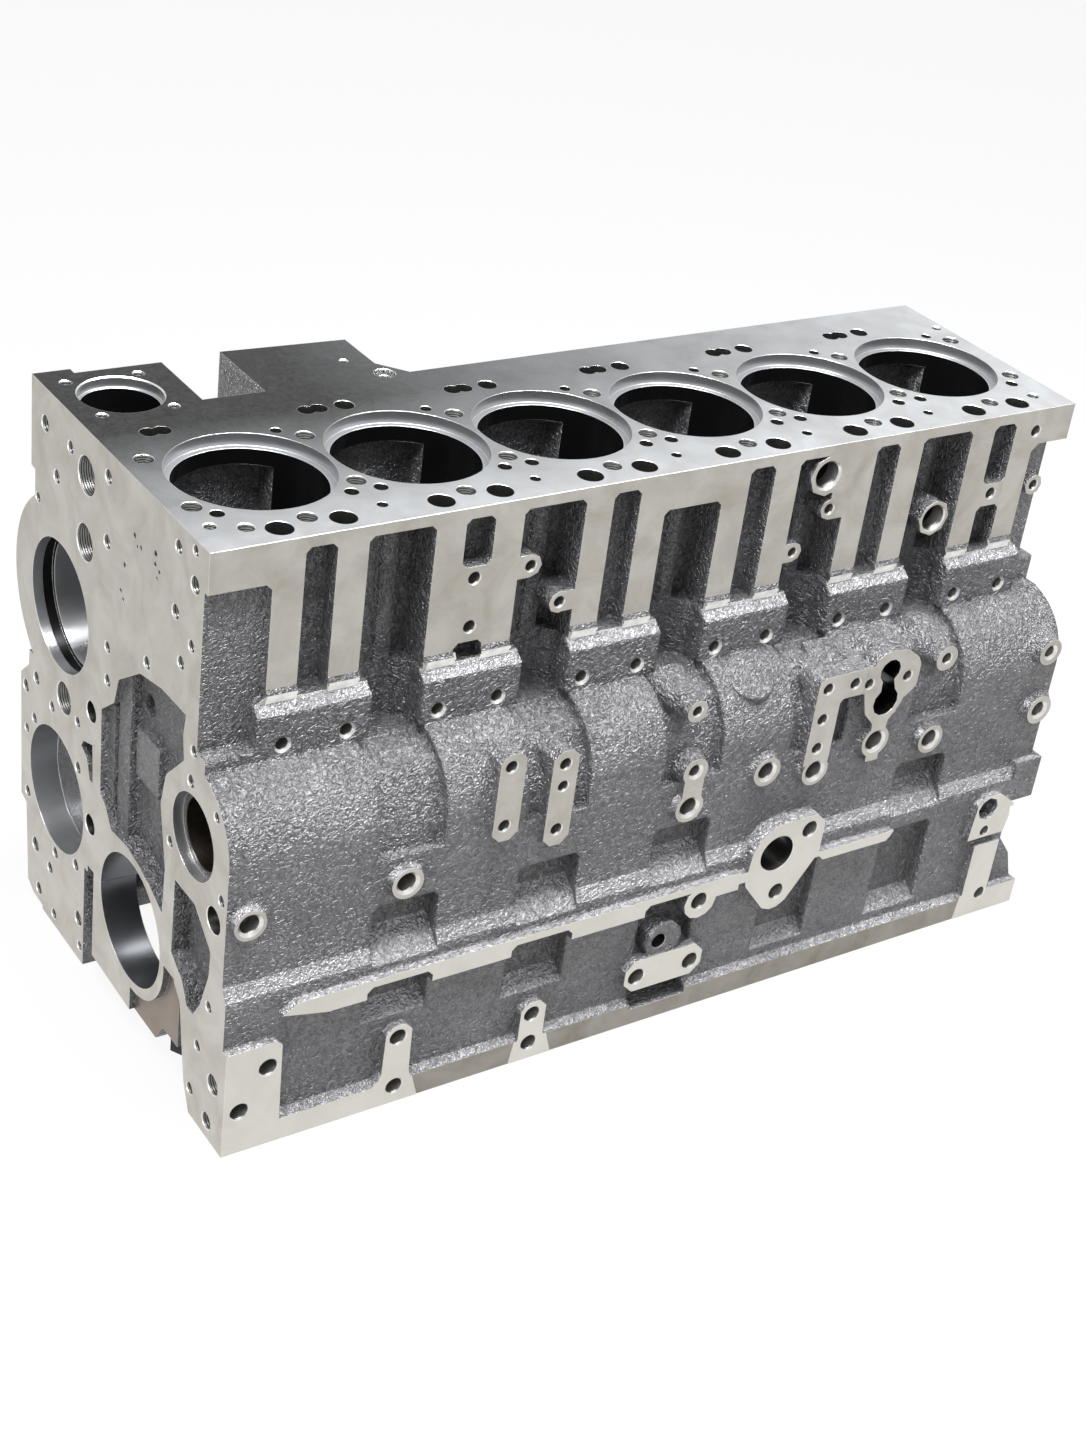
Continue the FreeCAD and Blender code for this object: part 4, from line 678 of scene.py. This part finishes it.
# The disc that a core print left: its place, the way into the metal, and its profile
DISC_PLACE = (494, -139.5, 203.9)
DISC_WAY = (0, 0.56, -0.83)
DISC_PROFILE = [(0, -1.6), (21.5, -1.6), (22.5, -0.6), (23.5, 9), (0, 9)]

# The pump's bore, from the front face: its groove, and the second land behind it
GROOVE_SPAN = (9, 19)
GROOVE_INSIDE, GROOVE_OUTSIDE = 3, 4
SLEEVE_SPAN = (20.5, 82)
SLEEVE_GAP, SLEEVE_WALL = 0.4, 5
SLEEVE_STEPS = 48
# The outlet's passage down to the pump's bore starts at this height
PASSAGE_TOP = 290
PASSAGE_LENGTH = 60

# The rail's side between the pads, along and height, a little lower than the pads
RAIL_SIDES = (
    ((179, -112), (169.5, -80), (273.1, -80), (268.1, -112)),
    ((311.5, -112), (301.5, -80), (781.5, -80), (777.5, -112)),
)
RAIL_SIDE_DEPTH = 0.4

# Of the holes beside the bores only those of the head's bolts are threaded
HEAD_BOLT = 7.5
HEAD_BOLT_DEPTH = 30
# Beside each bore: how far ahead of it, across, radius, depth
BORE_HOLES = (
    (4, -81.7, HEAD_BOLT, 30), (-23, -90.7, 10.5, 40), (29, -90.7, 10.5, 40), (50, 57.5, 4.5, 16),
    (-55, -55.5, 5.5, 16), (55, -55.5, 5.5, 16),
)
# Two bolts stand at each web, across
WEB_BOLTS = (42.4, -39.9)
# The row of water holes on the far side: doubles ahead of each bore, and single ones between bores
WATER_ROW = 83.8
DOUBLE_AHEAD = -39
DOUBLE_RADIUS, DOUBLE_REACH = 7.5, 5.5
DOUBLE_DEPTH = 16
SINGLE_AHEAD = -10.5
SINGLE_RADIUS = 8
SINGLE_DEPTH = 30
# The ground strip in which the double holes are, from and to: ahead of each bore, and across
STRIP_AHEAD = (-55, -24)
STRIP_ACROSS = (74, 94)
STRIP_DEPTH = 14
# Oil holes between the bores, and other small ones: along, across, radius
OIL_ROW = -81.7
OIL_RADIUS = 4.2
SMALL_DECK_HOLES = (
    (18, -71.6, 4.5), (817, -83, 5), (41.5, -81.7, 6), (836, 70.7, 4), (18, 187, 4), (80, 187, 4),
    (21, 122, 4), (81, 122, 4), (253, 162, 3),
)
SMALL_DEPTH = 16
# The locating hole on the tower: along, across, radius, depth and the ring of its seat
TOWER_HOLE = (274, 129.4, 5, 20, 9.5)
# The outlet's lip: radius of its chamfer, of the lip and of the passage under it
OUTLET_RIM, OUTLET_LIP, OUTLET_PASSAGE = 36, 34, 31.5
OUTLET_DEPTH = 80


def cooler_column(bm):
    """The left column of the cooler flange."""
    outline_solid(bm, rounded_points(COOLER_COLUMN), HOUSING_PADS - BOSS_PROUD, COLUMN_BACK, "XZ", MILLED)


def cooler_ribs(bm):
    """The round ribs that run from the cooler flange back to the ledge."""
    for along, height, radius in COOLER_RIBS:
        lathe(bm, [(CAST, [(0, 0), (radius, 0), (radius + 1, RIB_LENGTH), (0, RIB_LENGTH)])],
              (along, RIB_START, height), INTO_FLANK, BOSS_STEPS)


def flange_wall(bm):
    """The cast wall behind the cooler flange."""
    outline_solid(bm, FLANGE_WALL, *FLANGE_WALL_SPAN, "YZ")


def column_wall(bm):
    """The cast wall behind the flange's left column."""
    outline_solid(bm, COLUMN_WALL, *COLUMN_WALL_SPAN, "YZ")


def cooler_ring(bm):
    """The machined face around the cooler port, its ear and its neck."""
    outline_solid(bm, rounded_points(COOLER_RING), HOUSING_PADS - RING_PROUD, RING_BACK, "XZ", MILLED)


def core_disc(bm):
    """The flat disc that a core print left on the camshaft housing."""
    lathe(bm, [(CAST, DISC_PROFILE)], DISC_PLACE, DISC_WAY, BOSS_STEPS)


def pump_sleeve(bm):
    """The second land behind the groove of the pump's bore."""
    across, height, radius = PUMP_BORE
    first, last = SLEEVE_SPAN
    inside, outside = radius + SLEEVE_GAP, radius + SLEEVE_WALL
    lathe(bm, [
        (SLEEVE, [(inside, first), (inside, last)]),
        (CAST, [(inside, last), (outside, last), (outside, first), (inside, first)]),
    ], (0, across, height), INTO_FRONT, SLEEVE_STEPS)


def dumbbell(upper, lower, waist=35, steps=9):
    """The outline of two round ends one above the other, joined by a waist."""
    points = []
    for (along, height, radius), first in ((upper, -90 + waist), (lower, 90 + waist)):
        for step in range(steps + 1):
            angle = math.radians(first + (360 - 2 * waist) * step / steps)
            points.append((along + radius * math.cos(angle), height + radius * math.sin(angle)))
    return points


def shelf_slope(bm):
    """The ledge's top falls away to its front edge."""
    outline_solid(bm, SHELF_SLOPE, -2, REAR_FLANGE + 2, "YZ")


def shallow_cuts(bm):
    """The rail's lower side, the cooler port, the pump bore's groove and the outlet's passage."""
    # the cooler port's walls and the pump bore's groove are painted dark as shade
    outline_solid(
        bm, dumbbell(*COOLER_PORT), HOUSING_PADS - 2, COOLER_PORT_FLOOR, "XZ", PAINTED_SHADE_WALL, PAINTED_SHADE_WALL)
    for points in RAIL_SIDES:
        outline_solid(bm, points, RAIL_EDGE - 1, RAIL_EDGE + RAIL_SIDE_DEPTH, "XZ", RAIL_SIDE, RAIL_SIDE)
    across, height, radius = PUMP_BORE
    first, last = GROOVE_SPAN
    inside, outside = radius - GROOVE_INSIDE, radius + GROOVE_OUTSIDE
    groove = [(inside, first), (outside, first), (outside, last), (inside, last), (inside, first)]
    lathe(bm, [(PAINTED_SHADE_WALL, groove)], (0, across, height), INTO_FRONT, BOSS_STEPS)
    # the outlet runs down into the pump's bore
    passage = [(0, 0), (OUTLET[2], 0), (OUTLET[2], PASSAGE_LENGTH), (0, PASSAGE_LENGTH)]
    lathe(bm, [(CAST, passage)], (*OUTLET[:2], PASSAGE_TOP), INTO_DECK, BOSS_STEPS)


def boss_tools(bm):
    """The round bosses, the feet of the flank's bars and the ground strips of the deck."""
    for x, z, radius, root, flare in ROUND_BOSSES:
        boss(bm, (x, HOUSING_PADS, z), INTO_FLANK, radius, BOSS_PROUD, root, flare)
    for x, z, radius, root, flare in HIGH_BOSS_ROOTS:
        boss(bm, (x, HIGH_BOSSES, z), INTO_FLANK, radius, BOSS_PROUD, root, flare)
    for first, last in BAR_SPANS:
        outline_solid(bm, BAR_FOOT, first, last, "YZ", CHAMFER_PAINTED_HIGHLIGHT, CHAMFER_PAINTED_HIGHLIGHT)
    for x in BORES:
        low = (x + STRIP_AHEAD[0], STRIP_ACROSS[0], DECK - STRIP_DEPTH)
        block_shape(bm, low, (x + STRIP_AHEAD[1], STRIP_ACROSS[1], DECK), GROUND)


def front_holes(bm):
    """The holes of the front face, and its blow holes."""
    for y, z, radius, depth in FRONT_PORTS:
        hole(bm, (0, y, z), INTO_FRONT, radius, depth, radius > WIDE_PORT, PORT_CHAMFER)
    for y, z, radius in FRONT_TAPPED:
        hole(bm, (0, y, z), INTO_FRONT, radius, FRONT_DEPTH)
    for y, z, radius in FRONT_PITS:
        # a pit is round at its mouth and narrows to its bottom
        lathe(bm, [(CAST, [(0, -1), (radius * 0.9, -1), (radius * 0.7, 1), (0, radius * 0.8)])],
              (0, y, z), INTO_FRONT, PIT_STEPS)


def flank_holes(bm):
    """The holes of the camshaft side, from the deck's edge down to the pan rail."""
    for x, z, radius in FLANK_TAPPED:
        hole(bm, (x, FLANK, z), INTO_FLANK, radius, FLANK_DEPTH)
    for x, z, radius in HOUSING_TAPPED:
        face = (x, HOUSING_PADS - BOSS_PROUD, z)
        hole(bm, face, INTO_FLANK, radius, HOUSING_DEPTH, ring=radius + HOUSING_SEAT)
    for x, z, radius in HOUSING_PAD_TAPPED:
        hole(bm, (x, HOUSING_PADS, z), INTO_FLANK, radius, PAD_DEPTH)
    for x, z, radius in HIGH_TAPPED:
        hole(bm, (x, HIGH_BOSSES - BOSS_PROUD, z), INTO_FLANK, radius, PAD_DEPTH)
    for x, z, radius in RAIL_TAPPED:
        hole(bm, (x, RAIL_EDGE, z), INTO_FLANK, radius, RAIL_DEPTH)
    radius, ring = LEDGE_BOLT
    for x in BORES:
        for ahead in LEDGE_BOLTS:
            hole(bm, (x + ahead, LEDGE_FACE, LEDGE_BOLT_HEIGHT), INTO_FLANK, radius, PAD_DEPTH, ring=ring)
    x, z, radius, depth = REAR_FLANK_HOLE
    hole(bm, (x, FLANK, z), INTO_FLANK, radius, depth)
    x, z, radius, depth = DRAIN
    hole(bm, (x, RAIL_EDGE, z), INTO_FLANK, radius, depth, False, PORT_CHAMFER)
    x, z, radius, depth = SENSOR_HOLE
    hole(bm, (x, SENSOR_SEAT, z), INTO_FLANK, radius, depth, False, FINE_CHAMFER)
    for x, z, ring in FLANK_PORTS:
        hole(bm, (x, FLANK, z), INTO_FLANK, FLANK_PORT_RADIUS, FLANK_PORT_DEPTH, ring=ring)


def deck_holes(bm):
    """The holes of the cylinder head face."""
    for x in BORES:
        for ahead, across, radius, depth in BORE_HOLES:
            place = (x + ahead, across, DECK)
            hole(bm, place, INTO_DECK, radius, depth, radius == HEAD_BOLT, DECK_CHAMFER)
        pair = double_hole(x + DOUBLE_AHEAD, WATER_ROW, DOUBLE_RADIUS, DOUBLE_REACH)
        outline_solid(bm, pair, DECK + 3, DECK - DOUBLE_DEPTH, "XY", TAPPED, TAPPED)
        if x > BORES[0]:
            place = (x + SINGLE_AHEAD, WATER_ROW, DECK)
            hole(bm, place, INTO_DECK, SINGLE_RADIUS, SINGLE_DEPTH, False, DECK_CHAMFER)
    for x in WEBS:
        for across in WEB_BOLTS:
            hole(bm, (x, across, DECK), INTO_DECK, HEAD_BOLT, HEAD_BOLT_DEPTH, True, BOLT_CHAMFER)
    for x in WEBS[1:6]:
        hole(bm, (x - 1, OIL_ROW, DECK), INTO_DECK, OIL_RADIUS, SMALL_DEPTH, False, FINE_CHAMFER)
    for x, y, radius in SMALL_DECK_HOLES:
        hole(bm, (x, y, DECK), INTO_DECK, radius, SMALL_DEPTH)
    # the coolant outlet's bored lip
    lathe(bm, [
        (CHAMFER_PAINTED_HIGHLIGHT, [(0, -1), (OUTLET_RIM, -1), (OUTLET_LIP, 1)]),
        (BORED, [(OUTLET_LIP, 1), (OUTLET_LIP, LIP_DEPTH), (OUTLET_PASSAGE, LIP_DEPTH)]),
        (PAINTED_SHADE_WALL, [(OUTLET_PASSAGE, LIP_DEPTH), (OUTLET_PASSAGE, OUTLET_DEPTH), (0, OUTLET_DEPTH)]),
    ], (*OUTLET[:2], DECK), INTO_DECK, BOSS_STEPS)
    x, y, radius, depth, ring = TOWER_HOLE
    hole(bm, (x, y, DECK), INTO_DECK, radius, depth, ring=ring)


def lies_on(bore, y, z):
    """Whether a place across and in height is on the wall of a bore along the crankshaft."""
    across, height, radius = bore
    return abs(math.hypot(y - across, z - height) - radius) < BORE_REACH


def machined_finish(centre, normal):
    """The finish of a face of the plain casting, from where it lies and which way it looks."""
    x, y, z = centre / MM
    if normal.z > SQUARE and abs(z - DECK) < PLANE_REACH:
        return GROUND
    if normal.x < -SQUARE and x < PLANE_REACH:
        return MILLED
    if normal.x > SQUARE and min(abs(x - REAR), abs(x - REAR_FLANGE)) < PLANE_REACH:
        return MILLED
    if normal.z < -SQUARE and abs(z - RAIL) < PLANE_REACH:
        return MILLED
    at_mounts = MOUNT_PAD_HEIGHTS[0] < z < MOUNT_PAD_HEIGHTS[1]
    if normal.y > SQUARE and abs(y + RAIL_EDGE) < PAD_REACH and at_mounts:
        return PAD
    # the ledge's sloping top and the pockets' feet are painted bright as a highlight
    if normal.z > 0.4 and SHELF_HEIGHTS[0] < z < SHELF_HEIGHTS[1] and LEDGE_FACE - 2 < y < FLANK:
        return PAINTED_TOP_HIGHLIGHT
    if normal.z > 0.3 and y < POCKET_FEET[0] and POCKET_FEET[1] < z < POCKET_FEET[2]:
        return PAINTED_TOP_HIGHLIGHT
    if normal.y < -SQUARE:
        if abs(y - FLANK) < PLANE_REACH and z > MILLED_FLANK_FOOT:
            return MILLED
        if abs(y - RAIL_EDGE) < PAD_REACH:
            return PAD
        if min(abs(y - HOUSING_PADS), abs(y - HIGH_BOSSES)) < PLANE_REACH:
            return MILLED
    if x < DEEPEST_FRONT_BORE and any(lies_on(bore, y, z) for bore in FRONT_BORES):
        return BORED
    if lies_on(CRANK_BORE, y, z):
        return CRANK_WALL
    if lies_on(CAM_BORE, y, z):
        return BORED
    if z > JACKET_FLOOR:
        for bore in BORES:
            reach = math.hypot(x - bore, y)
            if reach < LINER_REGISTER + LINER_REACH and z > DECK - REGISTER_DEPTH:
                return BORED
            # the liners' bores are painted dark as shade
            if abs(reach - LINER_BORE) < LINER_REACH and abs(normal.z) < UPRIGHT:
                return PAINTED_SHADE_WALL
    from_outlet = math.hypot(x - OUTLET[0], y - OUTLET[1])
    if z > DECK - LIP_DEPTH and abs(from_outlet - OUTLET[2]) < LINER_REACH:
        return BORED
    return CAST


class BLOCK_OT_casting(bpy.types.Operator):
    """Cuts the true round holes and threads into a copy of the casting and gives each face its finish"""
    bl_idname = "block.casting"
    bl_label = "Cylinder block"

    def execute(self, context):
        colours = context.scene.block_finish
        finishes = [
            # dull and grainy, as the sand and the shot left it
            cast_iron_shot_blasted("grey_iron_as_cast", colours.cast, colours.grain),
            # pale satin with level feed marks and water stains, and painted light that makes it paler
            # towards the pan rail
            machined_iron(
                "grey_iron_milled", colours.milled, 0.42, LEVEL_FEED, shade(colours.milled, 1.15),
                stain=0.25),
            # the brightest face, with a painted dark reflection in its front corner
            machined_iron(
                "grey_iron_ground", colours.ground, 0.33, DECK_FEED, stain=0.15, metallic=1.0, with_painted_reflection=True),
            # bright and smooth, with rings as fine as the boring bar's feed
            machined_iron("grey_iron_bored", colours.bored, 0.28, BORING_FEED, stain=0.1),
            # threads and drilled walls, grey between light and shadow
            turned_metal("grey_iron_tapped", hex_colour("#80807e"), 0.36),
            # countersinks and filed edges, painted near white as a highlight
            turned_metal("grey_iron_chamfer_painted_highlight", hex_colour("#e8e7e4"), 0.3),
            # the pan rail's pads, paler than the other milled faces, with painted light that makes them
            # paler still near the rail
            machined_iron(
                "grey_iron_pads", hex_colour("#d0cec7"), 0.45, LEVEL_FEED, hex_colour("#d6d4cd"), stain=0.1),
            # the rail's side between the pads, rough-milled and stained brown
            machined_iron(
                "grey_iron_rail_side", hex_colour("#99958e"), 0.5, RAIL_FEED, stain=0.35, metallic=0.6),
            # the liners' bores, the deep ports and passages and the pump bore's groove, painted dark as the
            # shade that lies in them
            machined_iron("grey_iron_bore_painted_shade", hex_colour("#303032"), 0.25, BORING_FEED),
            # the pump's second land, painted whiter than the other bores to stand for the light on it, and
            # less like a mirror
            machined_iron(
                "grey_iron_pump_bore", hex_colour("#d8dadc"), 0.4, NO_FEED, stain=0.1, metallic=0.1),
            # the crankshaft's bore, a middle grey
            machined_iron("grey_iron_crank_bore", hex_colour("#707276"), 0.3, BORING_FEED),
            # cast skin painted twice as bright as a highlight, on ledges and pockets' feet
            cast_iron_shot_blasted("grey_iron_cast_painted_highlight", shade(colours.cast, 2.0), colours.grain),
        ]
        bm = bmesh.new()
        bm.from_mesh(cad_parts["cylinder_block"].data)
        bmesh.ops.remove_doubles(bm, verts=bm.verts, dist=CASTING_WELD * MM)
        for face in bm.faces:
            face.material_index = CAST
        mesh = bpy.data.meshes.new("BlockCasting")
        bm.to_mesh(mesh)
        bm.free()
        # the imported normals belong to the old faces
        if "custom_normal" in mesh.attributes:
            mesh.attributes.remove(mesh.attributes["custom_normal"])
        mesh.materials.clear()
        for finish in finishes:
            mesh.materials.append(finish)
        casting = bpy.data.objects.new("BlockCasting", mesh)
        context.scene.collection.objects.link(casting)

        for operation, shape in (
            ("DIFFERENCE", shelf_slope), ("UNION", boss_tools), ("UNION", cooler_ribs),
            ("UNION", flange_wall), ("UNION", column_wall), ("UNION", cooler_column),
            ("UNION", cooler_ring), ("UNION", pump_sleeve), ("UNION", core_disc),
            ("DIFFERENCE", shallow_cuts), ("DIFFERENCE", front_holes), ("DIFFERENCE", flank_holes),
            ("DIFFERENCE", deck_holes),
        ):
            tool = bmesh.new()
            shape(tool)
            carve(casting, as_object("Tool", tool, finishes), operation)
        for face in casting.data.polygons:
            if face.material_index == CAST:
                face.material_index = machined_finish(face.center, face.normal)
        smooth_by_angle(casting, ROUND_BELOW)
        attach(casting, "root")
        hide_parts("cylinder_block")
        return {"FINISHED"}


class BLOCK_OT_bearing_caps(bpy.types.Operator):
    """Gives the seven main bearing caps and their bolts their finishes"""
    bl_idname = "block.bearing_caps"
    bl_label = "Main bearing caps"

    def execute(self, context):
        colours = context.scene.block_finish
        finishes = [
            # the same skin as the casting's, a little darker
            cast_iron_shot_blasted("nodular_iron_cap", shade(colours.cast, 0.8), colours.grain),
            # the front cap's milled face, as pale as the block's front, with the same painted light towards
            # the pan rail
            machined_iron(
                "nodular_iron_milled", colours.milled, 0.42, LEVEL_FEED, shade(colours.milled, 1.15),
                stain=0.25),
            # its set-back part, stained brown
            machined_iron("nodular_iron_stained", hex_colour("#978c83"), 0.5, LEVEL_FEED, stain=0.25),
            # the half bores, as grey as the block's
            machined_iron("nodular_iron_bored", hex_colour("#707276"), 0.3, BORING_FEED),
        ]
        # blackened steel, nearly without lustre
        bolt = turned_metal("steel_bolt_black_oxide", hex_colour("#3c3d40"), 0.4)
        for number in range(1, 8):
            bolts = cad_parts[f"main_cap_bolts_{number}"].data
            bolts.materials.clear()
            bolts.materials.append(bolt)
            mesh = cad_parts[f"main_bearing_cap_{number}"].data
            mesh.materials.clear()
            for finish in finishes:
                mesh.materials.append(finish)
            for face in mesh.polygons:
                x, y, z = face.center / MM
                if lies_on(CRANK_BORE, y, z):
                    face.material_index = CAP_BORE
                elif number == 1 and face.normal.x < -SQUARE:
                    face.material_index = CAP_FRONT if x < PLANE_REACH else CAP_SET_BACK
                else:
                    face.material_index = CAP_CAST
        return {"FINISHED"}


class BLOCK_OT_plugs_and_bush(bpy.types.Operator):
    """Gives the camshaft bush and the plugs their finishes"""
    bl_idname = "block.plugs_and_bush"
    bl_label = "Plugs and camshaft bush"

    def execute(self, context):
        # brownish metal in the shadow of its bore
        bush = turned_metal("bronze_bush", hex_colour("#6b6359"), 0.35)
        # pressed steel with a thin zinc coat, a cool light grey
        plug = turned_metal("steel_plug_zinc", hex_colour("#a5a6a3"), 0.38)
        for name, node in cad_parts.items():
            if "plug" in name or name == "cam_bushing":
                node.data.materials.clear()
                node.data.materials.append(bush if name == "cam_bushing" else plug)
        return {"FINISHED"}


# The studio

# The floor is this far below the rail in millimetres, and reaches this far each way in metres
FLOOR_GAP = 0.2
FLOOR_REACH = 16.0
# How white the camera and shiny metal see the floor, and how white metal sees the walls
FLOOR_SEEN = 0.93
WALLS_SEEN = 0.82

# The lamps' places, what they point at and how wide and deep they are, in metres
LAMPS = (
    ("Overhead", (0.45, -0.3, 2.3), (0.45, -0.2, 0.2), (3.0, 0.9)),
    ("FrontFill", (-2.0, -0.3, 0.6), (0.1, 0.1, 0.15), (1.2, 1.2)),
    ("FlankFill", (0.9, -2.6, 1.0), (0.4, 0, 0.2), (2.2, 1.4)),
)

# The camera as it was fitted to the block's edges and bores in the photograph: its place in millimetres,
# and in degrees its turn about the vertical, its tilt up from straight down and its roll
CAMERA_PLACE = (-656.221, -1389.917, 1154.07)
CAMERA_TURN = -38.237
CAMERA_TILT = 58.873
CAMERA_ROLL = 8.698
CAMERA_LENS = 57.279
CAMERA_SHIFT = (-0.03045, 0.00099)
# How far the camera sees, in metres
CAMERA_REACH = 60.0


def studio_floor_material(colour):
    """A matt painted floor: nearly white to the camera and in reflections, and it keeps the shadow."""
    material, tree = new_material("studio_floor_matt")
    rays = add_node(tree, "ShaderNodeLightPath")
    seen = add_node(
        tree, "ShaderNodeMath", {"operation": "MAXIMUM"},
        {0: rays.outputs["Is Camera Ray"], 1: rays.outputs["Is Glossy Ray"]})
    share = add_node(
        tree, "ShaderNodeMath", {"operation": "MULTIPLY", 1: FLOOR_SEEN}, {0: seen.outputs[0]})
    paint = add_node(tree, "ShaderNodeBsdfDiffuse", {"Color": colour})
    glow = add_node(tree, "ShaderNodeEmission", {"Color": (1, 1, 1, 1), "Strength": 1.0})
    mixed = add_node(
        tree, "ShaderNodeMixShader", links={0: share.outputs[0], 1: paint.outputs[0], 2: glow.outputs[0]})
    add_node(tree, "ShaderNodeOutputMaterial", links={"Surface": mixed.outputs[0]})
    return material


class BLOCK_OT_studio(bpy.types.Operator):
    """Makes the floor, the lamps and the camera"""
    bl_idname = "block.studio"
    bl_label = "Studio"

    def execute(self, context):
        scene = context.scene
        settings = scene.block_studio
        bm = bmesh.new()
        place = Matrix.Translation(Vector((400, 0, RAIL - FLOOR_GAP)) * MM)
        bmesh.ops.create_grid(bm, x_segments=1, y_segments=1, size=FLOOR_REACH, matrix=place)
        floor = as_object("Floor", bm, [studio_floor_material(settings.floor)])

        powers = (settings.overhead, settings.front, settings.fill)
        for (name, place, target, size), power in zip(LAMPS, powers):
            lamp = bpy.data.lights.new(name, "AREA")
            lamp.shape = "RECTANGLE"
            lamp.size, lamp.size_y = size
            lamp.energy = power
            holder = bpy.data.objects.new(name, lamp)
            way = Vector(target) - Vector(place)
            turn = way.to_track_quat("-Z", "Y").to_matrix().to_4x4()
            holder.matrix_world = Matrix.Translation(place) @ turn
            scene.collection.objects.link(holder)

        world = bpy.data.worlds.new("Surroundings")
        scene.world = world
        world.use_nodes = True
        tree = world.node_tree
        tree.nodes.clear()
        rays = add_node(tree, "ShaderNodeLightPath")
        # shiny metal sees pale walls, a little darker than what the camera sees
        walls = add_node(
            tree, "ShaderNodeMath", {"operation": "MULTIPLY", 1: WALLS_SEEN},
            {0: rays.outputs["Is Glossy Ray"]})
        seen = add_node(
            tree, "ShaderNodeMath", {"operation": "MAXIMUM"},
            {0: rays.outputs["Is Camera Ray"], 1: walls.outputs[0]})
        strength = add_node(
            tree, "ShaderNodeMapRange", {"To Min": settings.sky, "To Max": 1.0}, {"Value": seen.outputs[0]})
        sky = add_node(
            tree, "ShaderNodeBackground", {"Color": (1, 1, 1, 1)}, {"Strength": strength.outputs["Result"]})
        add_node(tree, "ShaderNodeOutputWorld", links={"Surface": sky.outputs[0]})
        scene.view_settings.view_transform = "Standard"

        camera = bpy.data.cameras.new("Camera")
        camera.lens = CAMERA_LENS
        camera.shift_x, camera.shift_y = CAMERA_SHIFT
        camera.clip_end = CAMERA_REACH
        stand = bpy.data.objects.new("Camera", camera)
        stand.matrix_world = Matrix.Translation(Vector(CAMERA_PLACE) * MM)
        for angle, axis in ((CAMERA_TURN, "Z"), (CAMERA_TILT, "X"), (CAMERA_ROLL, "Z")):
            stand.matrix_world = stand.matrix_world @ Matrix.Rotation(math.radians(angle), 4, axis)
        scene.collection.objects.link(stand)
        scene.camera = stand
        return {"FINISHED"}


class BLOCK_PT_parts(bpy.types.Panel):
    bl_label = "Engine block"
    bl_idname = "BLOCK_PT_parts"
    bl_space_type = "VIEW_3D"
    bl_region_type = "UI"
    bl_category = "Engine block"

    def draw(self, context):
        layout = self.layout
        for group in (context.scene.block_finish, context.scene.block_studio):
            for name in group.__annotations__:
                layout.prop(group, name)
        for operator in OPERATORS:
            layout.operator(operator.bl_idname)


OPERATORS = (BLOCK_OT_studio, BLOCK_OT_casting, BLOCK_OT_bearing_caps, BLOCK_OT_plugs_and_bush)
CLASSES = (FinishColours, StudioSettings, *OPERATORS, BLOCK_PT_parts)


def register():
    for cls in CLASSES:
        bpy.utils.register_class(cls)
    bpy.types.Scene.block_finish = bpy.props.PointerProperty(type=FinishColours)
    bpy.types.Scene.block_studio = bpy.props.PointerProperty(type=StudioSettings)


def unregister():
    del bpy.types.Scene.block_studio
    del bpy.types.Scene.block_finish
    for cls in reversed(CLASSES):
        bpy.utils.unregister_class(cls)


def main():
    register()
    bpy.ops.block.studio()
    bpy.ops.block.casting()
    bpy.ops.block.bearing_caps()
    bpy.ops.block.plugs_and_bush()


if __name__ == "__main__":
    main()
